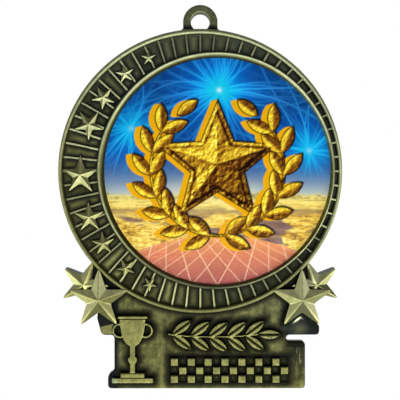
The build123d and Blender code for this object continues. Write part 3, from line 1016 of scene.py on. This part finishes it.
def depth_in_squares(p):
    """Chequers: the raised ones are those whose column and row add up to an even number."""
    x, y = (p[:, 0] - squares_left) / square, (p[:, 1] - foot_line) / square
    inside = (x > 0) & (x < square_columns) & (y > 0) & (y < square_rows)
    even = (np.floor(x) + np.floor(y)) % 2 == 0
    depth = (0.5 - np.maximum(np.abs(x % 1 - 0.5), np.abs(y % 1 - 0.5))) * square - 0.04
    outside = np.hypot(np.maximum(np.maximum(-x, x - square_columns), 0),
                       np.maximum(np.maximum(-y, y - square_rows), 0)) * square
    return np.where(inside, np.where(even, depth, -depth - 0.08), -outside - 0.04)


print("depth inside the cup's bowl:", depth_in_cup(np.array([[cup_middle, foot_line + 12.0]])).round(2))

# %% [markdown]
# ## The outline of the plinth
#
# The plate runs up behind the corner stars and under the ring, so its outline is only seen below them:
# steps on both sides, with small rounds, and a shelf under each star.

# %% Outline the plinth
shelf, mirror = -ring_radius - 5.2, (-1, 1)
tall, low = tall_places[1], low_places[1]
tip = low_size * np.array([math.cos(math.radians(90 + low_spin)), math.sin(math.radians(90 + low_spin))])


def rounded(corners, radius, free):
    """Replaces each free corner by points on the curve that leaves one side and meets the next:
    corner + arm (1 - t)^2 + next arm t^2."""
    line = []
    for before, corner, after in zip(np.roll(corners, 1, 0), corners, np.roll(corners, -1, 0)):
        if not free(corner):
            line.append(corner)
            continue
        arms = [(end - corner) / np.hypot(*(end - corner)) * radius for end in (before, after)]
        for t in np.linspace(0, 1, 7):
            line.append(corner + arms[0] * (1 - t) ** 2 + arms[1] * t ** 2)
    return np.array(line)


plinth_corners = rounded(np.array([
    (-20.85, plinth_bottom), (-20.85, plinth_bottom + 3.2), (-19.4, plinth_bottom + 3.9), (-19.4, shelf),
    (-22.3, shelf), (-23.3, shelf + 3.9), tall * mirror, low * mirror, (low + tip) * mirror, low + tip, low, tall,
    (26.9, shelf + 1.9), (26.9, shelf), (19.4, shelf), (19.4, shelf - 1.5), (23.7, shelf - 1.5),
    (23.7, plinth_bottom)])[::-1],
    0.9, lambda corner: corner[1] < shelf + 1)


def depth_in_plinth(p):
    """Inside the plate's outline and outside the ring."""
    return np.minimum(depth_in_polygon(p, plinth_corners), np.hypot(*p.T) - (ring_radius - 0.6))


print("plinth outline", len(plinth_corners), "corners")

# %% [markdown]
# ## Height fields with clean edges
#
# A fine square grid is the simplest mesh for a relief, but its edge would be a staircase. So the points
# next to the outline are moved onto it. Walls down to the back, and one flat face over the back, then
# make a closed piece of it.

# %% Cover an outline
def covered(depth_of, low, high, step):
    """A grid over an outline. Points within half a step of the outline are moved onto it along the
    depth's slope, and triangles with a corner outside are dropped, so that the edge is clean."""
    xs, ys = np.arange(low[0], high[0], step), np.arange(low[1], high[1], step)
    p = np.stack(np.meshgrid(xs, ys, indexing="ij"), -1).reshape(-1, 2)
    depth = depth_of(p)
    near = np.abs(depth) < step * 0.5
    small = 0.01
    for _ in range(2):
        q, d = p[near], depth_of(p[near])
        slope = np.column_stack([depth_of(q + (small, 0)) - d, depth_of(q + (0, small)) - d]) / small
        p[near] = q - d[:, None] * slope / np.maximum((slope ** 2).sum(1), 0.3)[:, None]
    keep = (depth > 0) | near
    a, b, c, d = grid_faces(len(xs), len(ys)).T
    other = (~keep[a] | ~keep[c])[:, None]
    triangles = np.vstack([np.where(other, np.column_stack([a, b, d]), np.column_stack([a, b, c])),
                           np.where(other, np.column_stack([b, c, d]), np.column_stack([a, c, d]))])
    used, numbers = np.unique(triangles[keep[triangles].all(1)], return_inverse=True)
    return p[used], numbers.reshape(-1, 3)


def closed_field(points, triangles, back):
    """Closes a height field: copies its border at the height of the back, joins the two by walls and
    fills each loop of the copy with one face."""
    edges = np.vstack([triangles[:, [0, 1]], triangles[:, [1, 2]], triangles[:, [2, 0]]])
    key = edges.min(1) * len(points) + edges.max(1)
    _, index, count = np.unique(key, return_index=True, return_counts=True)
    border = edges[index[count == 1]]
    rim = np.unique(border)
    number = np.full(len(points), -1)
    number[rim] = np.arange(len(rim)) + len(points)
    below = points[rim].copy()
    below[:, 2] = back
    walls = np.column_stack([border[:, 0], number[border[:, 0]], number[border[:, 1]], border[:, 1]])
    following, loops = dict(border.tolist()), []
    while following:
        point, loop = next(iter(following)), []
        while point in following:
            loop.append(number[point])
            point = following.pop(point)
        loops.append(loop[::-1])
    print("border loops of", [len(loop) for loop in loops], "points")
    return np.vstack([points, below]), [triangles, walls, loops]


flat, triangles = covered(depth_in_plinth, (-24.1, plinth_bottom - 0.3), (27.6, -19.5), 0.135)

# %% [markdown]
# ## The plinth
#
# The motifs rise from the plate with soft shoulders, each leaf has a groove along its middle, and the
# edge of the plate is eased by a quarter circle.

# %% Raise the relief
plate, relief, plate_ease = 2.8, 1.5, 0.3
edge, cup, squares = depth_in_plinth(flat), depth_in_cup(flat), depth_in_squares(flat)
branch, midrib = depth_in_branch(flat)
motif = np.maximum(np.maximum(cup, branch), squares)
in_leaf = (branch >= motif - 1e-6) & (branch > 0)
height = plate + smooth(motif, -0.10, 0.14) * (relief - 0.12 * np.exp(-np.maximum(motif, 0) / 0.12))
height -= np.where(in_leaf, 0.35 * (1 - smooth(midrib, 0.0, 0.35)) * smooth(branch, 0.05, 0.3), 0)
inwards = np.clip(plate_ease - edge, 0, plate_ease)
height -= plate_ease - np.sqrt(np.maximum(plate_ease ** 2 - inwards ** 2, 0))
plinth_points, plinth_faces = closed_field(np.column_stack([flat, height]), triangles, back_step)
print("relief from", round(height.min(), 2), "to", round(height.max(), 2), "mm")

# %% [markdown]
# The ground of the plate is olive with streaks, stains and specks, and it darkens where motifs, stars
# and ring shade it from the cloth. Here and there it is different: a lip along the foot, a shelf and a
# darker block at the right end with painted glints in it, a painted highlight under the notch of the
# right tall star, and a bright lip on the left.

# %% Rub the ground
u, v = flat.T
streaks = 0.6 * noise(u * 0.55, v * 0.05 + 9, 3) + 0.4 * noise(u * 2.2, v * 0.2, 4)
stains, specks = clouds(flat * 1.1, 4, 8), noise(u * 4.6, v * 4.6, 12) - 0.5
lip = smooth(foot_line + 0.05 - v, -0.15, 0.15) * smooth(u, -10.5, -9.5)
rubbed_and_lit = 0.22 + 0.16 * (streaks - 0.5) + 0.18 * (stains - 0.5) + 0.09 * specks + 0.05 * lip
# The right end of the plate is darker.
darker_right_end = smooth(u, 17.5, 21.0) * smooth(v, plinth_bottom + 1.5, plinth_bottom + 10)
# Painted glints: small bright flecks in the darker block at the right end.
painted_glints = smooth(noise(u * 4.4, v * 1.3, 14), 0.55, 0.95) * bell(u, 22.0, 1.5) * bell(v, shelf - 5.2, 2.2)
rubbed_and_lit = rubbed_and_lit * (1 - 0.75 * darker_right_end) + 0.38 * darker_right_end * painted_glints
on_shelf = smooth(v, shelf, shelf + 0.1) * smooth(u, 18.0, 20.5)
patch = bell(u, 22.4, 1.7) * bell(v, shelf + 1.4, 1.4)
rubbed_and_lit = rubbed_and_lit * (1 - 0.7 * on_shelf) + 0.17 * patch * on_shelf
left_end = smooth(-u, 17.9, 19.2)
under_slope = smooth(shelf + 1.9 + 0.25 * (u + 22.4) - v, -0.1, 0.15)
left_lip = under_slope * smooth(v, shelf + 0.15, shelf + 0.35) * (u < -19.3)
rubbed_and_lit = rubbed_and_lit * (1 - 0.95 * left_end) + 0.29 * left_lip
block_top = smooth(v, shelf - 3.1, shelf - 2.4) * smooth(u, 19.2, 19.8) * (v < shelf - 1)
rubbed_and_lit = rubbed_and_lit * (1 - 0.8 * block_top)
star_feet = [foot for side in (-1, 1) for foot in ((tall_places[side], tall_size + 0.2, 90),
                                                   (low_places[side], low_size + 0.15, 90 + side * low_spin))]
star_gap, ring_gap = gap_to_stars(flat, star_feet), np.hypot(u, v) - ring_radius
clear = np.min([-motif - 0.1, star_gap, ring_gap], axis=0)
# A painted highlight in a thin arc under the notch of the right tall star.
painted_notch_highlight = bell(star_gap, 1.25, 0.22) * bell(u, tall[0] - 0.65, 0.9) * (v < tall[1] - 2)
ground = 0.07 + rubbed_and_lit * smooth(np.maximum(clear, 2 * left_lip), 0.0, 1.9) + 0.9 * painted_notch_highlight
print("ground polish from", round(ground.min(), 2), "to", round(ground.max(), 2))

# %% [markdown]
# The tops of the motifs were brushed from side to side, and a painted highlight runs along their edges.

# %% Rub the tops
brushed = noise(u * 7, v * 0.7, 5) - 0.5
# A painted highlight along the edges of the tops.
tops = 0.39 + 0.05 * brushed + 0.05 * specks + 0.12 * (stains - 0.5) + 0.11 * bell(motif, 0.14, 0.12)
tops = tops - np.where(in_leaf, 0.24 * (1 - smooth(midrib, 0.03, 0.22)), 0)
polish = ground + (tops - ground) * smooth(motif, -0.02, 0.10)
cool = np.max([on_shelf * (1 - patch), darker_right_end * painted_glints, 0.8 * left_end * (1 - left_lip)], axis=0)
below = len(plinth_points) - len(flat)
brass_piece("plinth", plinth_points, plinth_faces, np.append(polish, np.full(below, back_polish)), 50.0,
            browned=np.append(0.05 - 1.05 * cool, np.zeros(below)))

# %% [markdown]
# ## The loop
#
# The loop that takes the ribbon is a plain lug with a hole. It is drawn as rings between the hole and
# the lug's outline, folded over the edges to the back, like a flattened tyre.

# %% Draw the loop
loop_thickness, lug_middle, lug_radius, lug_foot = 3.2, 33.53, 3.87, 30.9
hole_centre, hole_radius, hole_ease, lug_ease = np.array([0.0, 33.60]), 2.15, 0.2, 0.3


def lug_outline():
    """Half a circle over two straight sides that flare at their feet, from the right foot round."""
    up = np.linspace(0, lug_middle - lug_foot, 14)[:, None]
    right = np.hstack([lug_radius + 0.75 * (1 - smooth(up, 0.5, 1.3)), lug_foot + up])
    a = np.linspace(0, np.pi, 60)[1:-1, None]
    arc = np.hstack([lug_radius * np.cos(a), lug_middle + lug_radius * np.sin(a)])
    left = np.hstack([-right[::-1, :1], right[::-1, 1:]])
    bottom = np.column_stack([np.linspace(-lug_radius, lug_radius, 22)[1:-1], np.full(20, lug_foot)])
    return np.vstack([right, arc, left, bottom])


outer = lug_outline()
ray = outer - hole_centre
ray /= np.hypot(*ray.T)[:, None]
inner = hole_centre + hole_radius * ray
quarter = np.linspace(0, np.pi / 2, 5)


def ring_at(line, h):
    """One ring of points at a height."""
    return np.column_stack([line, np.full(len(line), h)])


def eased_edge(line, ease, front):
    """Rings that round off an edge, from its wall to a face: ease (1 - cos a) into the metal, which is
    away from the hole's centre where ease is positive, and |ease| (1 - sin a) short of the face."""
    short = abs(ease) * (1 - np.sin(quarter))
    return [ring_at(line + ray * ease * (1 - math.cos(a)), loop_thickness - s if front else s)
            for a, s in zip(quarter, short)]


hole_line, lug_line = inner + hole_ease * ray, outer - lug_ease * ray
front_face = [ring_at(hole_line + (lug_line - hole_line) * share, loop_thickness)
              for share in (0.15, 0.35, 0.5, 0.65, 0.85)]
rings = (eased_edge(inner, hole_ease, True) + front_face + eased_edge(outer, -lug_ease, True)[::-1]
         + eased_edge(outer, -lug_ease, False) + eased_edge(inner, hole_ease, False)[::-1])
# The rounded front edge of the hole is paler: wear from the ribbon and a painted highlight.
tones = np.concatenate([0.30 + 0.32 * np.sin(2 * quarter), np.repeat([0.33, 0.34, 0.2], [5, 10, 5])])
points = np.vstack(rings)
above_foot = smooth(points[:, 1], 32.2, 33.2)
worn_and_lit = np.repeat(tones, len(inner)) * (1 + 0.5 * (clouds(points[:, :2] * 1.5, 4, 33) - 0.5))
loop_faces = grid_faces(len(rings), len(inner), close_rows=True, close_columns=True)
brass_piece("ribbon_loop", points, [loop_faces], 0.10 + (worn_and_lit - 0.10) * above_foot, browned=0.35 * above_foot)

# %% [markdown]
# ## The printed disc
#
# The insert of such a medal is a thin plastic disc with a full-colour print. Here the picture is worked
# out as a function of place: for every point of a fine disc, numpy says which ink lies there. The
# colours ride on the mesh as one attribute, so no image file is needed. The picture itself is a stock
# award motif: a gold star in a laurel wreath, light rays on a blue sky, dry hills and a terrace.

# %% Colour helpers
def mixed(a, b, share):
    """Colour a where share is 0, colour b where it is 1."""
    share = np.clip(share, 0, 1)[:, None]
    return np.asarray(a, float) * (1 - share) + np.asarray(b, float) * share


def ramp(value, *stops):
    """A colour that runs through (value, red, green, blue) stops."""
    places, red, green, blue = np.array(stops, float).T
    return np.stack([np.interp(value, places, channel) for channel in (red, green, blue)], -1)


print("halfway from black to white:", mixed((0, 0, 0), (1, 1, 1), np.array([0.5])))

# %% [markdown]
# ### The sky
#
# Night blue above and haze at the horizon. Thin rays leave three bright sources at seeded angles. A
# ray has a crisp core and a soft glow, both bells across it, and fades as exp(-r / l) along it.

# %% Paint the sky
light_sources = [((0.4, 18.2), 100, 1.0), ((-19.4, 9.6), 50, 0.6), ((20.6, 4.6), 50, 0.65)]
sky_stops = [(0, 0.78, 0.80, 0.65), (1.1, 0.64, 0.70, 0.72), (3.4, 0.45, 0.54, 0.66), (6.0, 0.27, 0.40, 0.60),
             (10, 0.08, 0.28, 0.57), (14, 0.035, 0.22, 0.47), (20, 0.03, 0.20, 0.42), (31, 0.03, 0.20, 0.42)]


def paint_rays(p):
    """The sources' glow, their rays and how near a point is to one of them. A ray bends by an angle
    that grows with the distance r."""
    picked = np.random.default_rng(21)
    glow, rays, near = np.zeros(len(p)), np.zeros(len(p)), np.zeros(len(p))
    for source, count, strength in light_sources:
        arm = p - source
        reach, angle = np.hypot(*arm.T), np.arctan2(arm[:, 1], arm[:, 0])
        near = np.maximum(near, np.exp(-reach / 9))
        glow = np.maximum(glow, strength * np.exp(-(reach / 8.5) ** 1.4))
        for _ in range(count):
            heading, bend = picked.uniform(-np.pi, np.pi), picked.normal(0, 0.022)
            length, power, width = picked.uniform(5, 22), picked.uniform(0.3, 1.0), picked.uniform(0.07, 0.14)
            off = np.abs((angle - heading - bend * reach + np.pi) % (2 * np.pi) - np.pi) * reach
            fade = power * strength ** 0.5 * np.exp(-reach / length) * smooth(reach, 0, 1.5)
            rays = np.maximum(rays, fade * bell(off, 0, width + 0.006 * reach))
            glow += 0.10 * fade * bell(off, 0, 4 * width + 0.02 * reach)
    return glow, rays, near


def paint_sky(p, horizon):
    """Haze over a night sky, then the glow, the rays and the bright middles of the sources."""
    rise = p[:, 1] - horizon
    sky = mixed(ramp(rise, *sky_stops), (0.96, 0.94, 0.76), 0.9 * bell(p[:, 0], -1, 9) * bell(rise, 0, 3.2))
    above = smooth(rise, 1.5, 10)
    glow, rays, near = paint_rays(p)
    sky = mixed(sky, (0.04, 0.46, 0.92), np.minimum(glow, 0.95) * above)
    sky = mixed(sky, mixed((0.28, 0.60, 0.95), (0.16, 0.82, 0.98), near * 1.6), 1.4 * rays * above)
    for source, _, strength in light_sources:
        reach = np.hypot(*(p - source).T)
        sky = mixed(sky, (0.04, 0.78, 0.88), 0.9 * strength * bell(reach, 0, 3.6))
        sky = mixed(sky, (0.80, 0.90, 0.96), strength * bell(reach, 0, 0.7))
    return sky


print("rays of light:", sum(count for _, count, _ in light_sources))

# %% [markdown]
# ### The land
#
# Straw in flat streaks, brightest in the haze near the horizon and coarser near by, with bushes along
# the horizon. In front lies a terrace of clay slabs. Dividing by the distance under the horizon turns
# a place in the picture into a place on the ground, which gives the perspective.

# %% Paint the hills and the terrace
def paint_land(p, horizon):
    """Streaks are noise that is stretched sideways, more so further away; hollows are purple."""
    x, y = p.T
    fall = np.maximum(horizon - y, 0.05)
    streaks = clouds(np.column_stack([x * 0.35, 11 * np.log(fall + 1.2)]), 4, 31)
    tufts = clouds(np.column_stack([x * 1.6, y * 4.6]), 4, 45)
    tone = 0.5 + 0.8 * (streaks - 0.5) + (tufts - 0.5) * (0.35 + 0.55 * smooth(fall, 1, 9))
    far = ramp(tone, (0.20, 0.66, 0.56, 0.33), (0.45, 0.90, 0.81, 0.41), (0.75, 0.96, 0.90, 0.54))
    close = ramp(tone, (0.15, 0.50, 0.37, 0.20), (0.38, 0.80, 0.64, 0.24), (0.55, 0.92, 0.78, 0.35),
                 (0.8, 0.98, 0.92, 0.54))
    land = mixed(far, close, smooth(fall, 1.0, 5.0))
    land = mixed(land, (0.60, 0.50, 0.34), 0.7 * bell(fall, 3.3 + 1.6 * (streaks - 0.5), 0.5))
    land = mixed(land, (0.98, 0.93, 0.68), 0.8 * bell(x, -1, 11) * np.exp(-fall / 2.0))
    hollow = smooth(clouds(np.column_stack([x * 0.16, y * 0.45]), 3, 61), 0.52, 0.64) * smooth(fall, 2.5, 6)
    return mixed(land, (0.36, 0.27, 0.42), hollow * (0.35 + 0.6 * tufts))


def paint_bushes(p, horizon, picture):
    """Low bushes along the horizon: noise along x gives their tops, finer noise their light and shade."""
    rise, along = p[:, 1] - horizon, np.column_stack([p[:, 0] * 0.4, np.zeros(len(p))])
    top = 4.2 * (clouds(along, 5, 77) - 0.38)
    leaves = clouds(p * 1.8, 4, 80)
    inside = smooth(top - rise + 1.2 * (leaves - 0.5), -0.15, 0.3) * smooth(rise, -1.1, -0.2)
    return mixed(picture, ramp(leaves, (0.35, 0.56, 0.52, 0.30), (0.65, 0.86, 0.80, 0.50)), 0.8 * inside)


def paint_terrace(p, horizon):
    """Terracotta slabs laid on the diagonal, with pale joints."""
    slab_size, eye_height, depth_scale = 1.5, 60, 5.2
    x, y = p.T
    fall = np.maximum(horizon - y, 0.05)
    away, across = eye_height / fall, depth_scale * x / fall
    a, b = (across + away) / slab_size, (across - away) / slab_size
    clay = ramp(fall, (8.5, 0.90, 0.64, 0.38), (13, 0.82, 0.50, 0.36), (20, 0.66, 0.36, 0.35))
    clay = clay * (0.94 + 0.12 * clouds(np.column_stack([x * 0.6, y * 1.6]), 3, 91))[:, None]
    clay = clay * (0.96 + 0.08 * noise(np.floor(a) * 7.1, np.floor(b) * 3.7, 15))[:, None]
    to_joint = np.minimum(0.5 - np.abs(a % 1 - 0.5), 0.5 - np.abs(b % 1 - 0.5))
    joint = to_joint * fall * slab_size / depth_scale
    return mixed(clay, (0.93, 0.80, 0.66), 0.9 - 0.9 * smooth(joint, 0.06, 0.18))


def terrace_depth(p):
    """How far inside the terrace a point is: it lies below a flat arc."""
    return -14.4 - 0.011 * p[:, 0] ** 2 - p[:, 1]


print("the terrace starts at", terrace_depth(np.zeros((1, 2))), "mm from the middle")

# %% [markdown]
# ### The emblem
#
# A gold star in a laurel wreath, printed as if it were a hammered relief. A printer's artist paints
# such gold by hand; here the slope of an imagined surface picks the colour.

# %% Paint the star and the wreath
emblem_centre, emblem_corners = np.array([0.0, 1.6]), star_corners(14.6, 90, 0.44)
wreath_radius, wreath_rise, wreath_count, leaf_lean = 15.0, 0.5, 8, 34
gold_stops = [(-1.0, 0.10, 0.05, 0.02), (-0.45, 0.30, 0.14, 0.03), (-0.1, 0.53, 0.34, 0.08), (0.2, 0.70, 0.53, 0.13),
              (0.5, 0.86, 0.68, 0.13), (0.8, 0.99, 0.93, 0.25), (1.2, 1.0, 1.0, 0.55)]

wreath_leaves = []
for side in (-1, 1):
    for number in range(wreath_count):
        place = math.radians(-84 + 19.5 * number)
        base = np.array([side * wreath_radius * math.cos(place), wreath_radius * math.sin(place) + wreath_rise])
        heading = 90 + side * math.degrees(place)
        last = number == wreath_count - 1
        for lean in (0,) if last else (-leaf_lean, leaf_lean):
            wreath_leaves.append((base, heading + lean, 6.0 if last else 6.6, 2.9))


def emblem_depth(p):
    """The greatest depth of star, leaves and stems, with the star's own depth, the leaves' depth and
    how far across its leaf each point lies."""
    star = depth_in_polygon(p - emblem_centre, emblem_corners)
    leaves, midrib = np.full(len(p), -99.0), np.full(len(p), 9.0)
    for leaf_shape in wreath_leaves:
        leaf, across = depth_in_leaf(p, *leaf_shape)
        midrib = np.where(leaf > leaves, across, midrib)
        leaves = np.maximum(leaves, leaf)
    stems = 0.35 - np.abs(np.hypot(p[:, 0], p[:, 1] - wreath_rise) - wreath_radius)
    stems = np.where(p[:, 1] < 10.5, stems, -99)
    return np.max([star, leaves, stems], axis=0), star, leaves, midrib


def hammered(p, step=0.12):
    """How much a hammered surface slopes towards the upper left, from the noise at two neighbours."""
    right, up = (clouds(p * 1.1 + shift, 4, 111) for shift in ((step, 0), (0, step)))
    return (right - up) / step * (0.75 + 0.35 * smooth(-p[:, 1], -4, 10))


def paint_emblem(p, picture):
    """The raised gold: a dark line and a flat lit side round it, then its face. Every facet of the star
    has one tone, the cosine of the angle between its slope and the light, and a dark line inside."""
    depth, star, leaves, midrib = emblem_depth(p)
    side = np.max([emblem_depth(p + (step, 0.15 * step))[0] for step in np.linspace(0.15, 1.35, 9)], axis=0)
    picture = mixed(picture, (0.05, 0.07, 0.10), 0.8 * smooth(emblem_depth(p + (-0.16, -0.16))[0], -0.16, 0.0))
    picture = mixed(picture, (0.89, 0.66, 0.05), smooth(side, -0.08, 0.08))
    arm = p - emblem_centre
    angle = np.arctan2(arm[:, 1], arm[:, 0]) - np.pi / 2
    facet = (angle + np.pi / 5) % (2 * np.pi / 5) - np.pi / 5
    lean = angle - facet + np.sign(facet) * 0.95
    tone = 0.55 * (np.cos(lean + np.pi / 2) * -0.6 + np.sin(lean + np.pi / 2) * 0.8)
    hammer = hammered(p)
    leaf_tone = np.where(midrib > 0, 0.55, -0.35) * smooth(np.abs(midrib), 0.05, 0.3)
    gold_star = ramp(tone + hammer * 0.75 - 0.9 * bell(star, 1.1, 0.28) + 0.1, *gold_stops)
    gold_leaf = ramp(leaf_tone + hammer * 0.4 + 0.1, *gold_stops)
    picture = mixed(picture, (0.10, 0.05, 0.02), smooth(depth, -0.05, 0.08))
    return mixed(picture, np.where((star > leaves)[:, None], gold_star, gold_leaf), smooth(depth, 0.12, 0.3))


print("leaves in the wreath:", len(wreath_leaves))

# %% [markdown]
# ### The disc
#
# The layers are painted from the back to the front, and the finished colours are laid on a fine disc.
# The film is satin, and a fine grain stands for the dots of the printing.

# %% Lay the print
horizon, disc_thickness = -5.6, 0.3


def paint_print(p):
    """The whole picture: sky or land on either side of an uneven horizon, bushes, terrace, emblem."""
    is_sky = p[:, 1] > horizon + 0.3 * clouds(p * 0.7, 3, 3)
    picture = np.where(is_sky[:, None], paint_sky(p, horizon), paint_land(p, horizon))
    picture = paint_bushes(p, horizon, picture)
    picture = mixed(picture, paint_terrace(p, horizon), smooth(terrace_depth(p), -0.1, 0.1))
    return paint_emblem(p, picture)


def ink_material():
    """Satin plastic in the colour of the ink attribute, with a fine printing grain."""
    material, tree, shader = new_material("printed_film")
    place = new_node(tree, "TexCoord")
    grain = new_node(tree, "TexNoise", Scale=6000.0, Detail=2.0, Vector=place.outputs["Object"])
    dots = new_node(tree, "MapRange", To_Min=0.94, To_Max=1.06, Value=grain.outputs["Fac"])
    ink = new_node(tree, "Attribute", attribute_name="ink")
    shade = new_node(tree, "VectorMath", {0: ink.outputs["Color"]}, operation="SCALE", Scale=dots.outputs["Result"])
    feed(tree, shader, {"Base Color": shade.outputs["Vector"], "Roughness": 0.45, "Specular IOR Level": 0.0})
    return material


flat, triangles = covered(lambda p: depth_in_circle(p, (0, 0), print_radius), (-25.9, -25.9), (25.9, 25.9), 0.165)
front = np.column_stack([flat + print_centre, np.full(len(flat), print_height)])
points, faces = closed_field(front, triangles, print_height - disc_thickness)
colours = np.ones((len(points), 4))
colours[:len(front), :3] = linear(paint_print(flat))
print_disc = make_piece("printed_disc", points, faces, sharp=50.0, ink=colours)
print_disc.data.materials.append(ink_material())
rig.ride(print_disc, "root")
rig.replaces(print_disc, "printed_insert")
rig.slot(print_disc, "printed_film")

# %% [markdown]
# ## The clear dome
#
# A drop of clear resin is cast over the print and stands a little proud of it. It is a lens too shallow
# to bend the picture, so it is enough that it lets light through and adds a faint gloss.

# %% Cast the dome
dome_top, dome_edge, dome_foot = (back_y - dome_low.y) / MM, print_height + 0.3, print_height + 0.01
dome_radius = (dome_high.x - dome_low.x) / 2 / MM


def resin_material():
    """Clear all through, with a gloss that grows at grazing angles as Fresnel's law says."""
    material, tree, _ = new_material("clear_resin")
    tree.nodes.clear()
    clear = new_node(tree, "BsdfTransparent")
    gloss = new_node(tree, "BsdfGlossy", Roughness=0.06)
    facing = new_node(tree, "Fresnel", IOR=1.1)
    set_surface(tree, new_node(tree, "MixShader", {1: clear.outputs[0], 2: gloss.outputs[0]}, Fac=facing.outputs[0]))
    return material


s = np.linspace(0, 1, 28)
lens = np.column_stack([dome_radius * s, dome_edge + (dome_top - dome_edge) * (1 - s ** 2) - 0.25 * s ** 24])
underside = [[dome_radius * share, dome_foot] for share in (1, 0.5, 0)]
points, faces = turned(np.vstack([lens, underside]), print_centre, 180)
dome = make_piece("clear_resin_dome", points, faces)
dome.data.materials.append(resin_material())
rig.ride(dome, "root")
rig.replaces(dome, "clear_dome")
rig.slot(dome, "clear_resin")

# %% [markdown]
# ## The adhesive pad
#
# A disc of foam tape holds the insert in its recess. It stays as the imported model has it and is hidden
# in use, so it only gets the look of white foam: a soft surface with fine closed cells.

# %% Foam for the pad
def foam_material():
    """Off-white and matt; Voronoi cells dent it and darken it a little between them."""
    material, tree, shader = new_material("adhesive_foam")
    place = new_node(tree, "TexCoord")
    cells = new_node(tree, "TexVoronoi", Scale=4000.0, Vector=place.outputs["Object"])
    colour = new_node(tree, "ValToRGB", Fac=cells.outputs["Distance"])
    stops = colour.color_ramp.elements
    stops[0].color, stops[1].color = (0.72, 0.71, 0.66, 1), (0.50, 0.49, 0.45, 1)
    bump = new_node(tree, "Bump", Strength=0.5, Distance=0.05 * MM, Height=cells.outputs["Distance"])
    feed(tree, shader, {"Base Color": colour.outputs["Color"], "Roughness": 0.9, "Normal": bump.outputs["Normal"]})
    return material


pad = frame["nodes"]["adhesive_pad"]
pad.data.materials.clear()
pad.data.materials.append(foam_material())
print("the pad's material:", [material.name for material in pad.data.materials])

# %% [markdown]
# ## Done
#
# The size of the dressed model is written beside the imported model's, so the two can be compared.

# %% finish
size_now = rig.bounds()
with open("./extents.json", "w") as file:
    json.dump({"cad": [list(corner) for corner in cad_box], "visual": [list(corner) for corner in size_now]}, file)
print(json.load(open("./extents.json")))
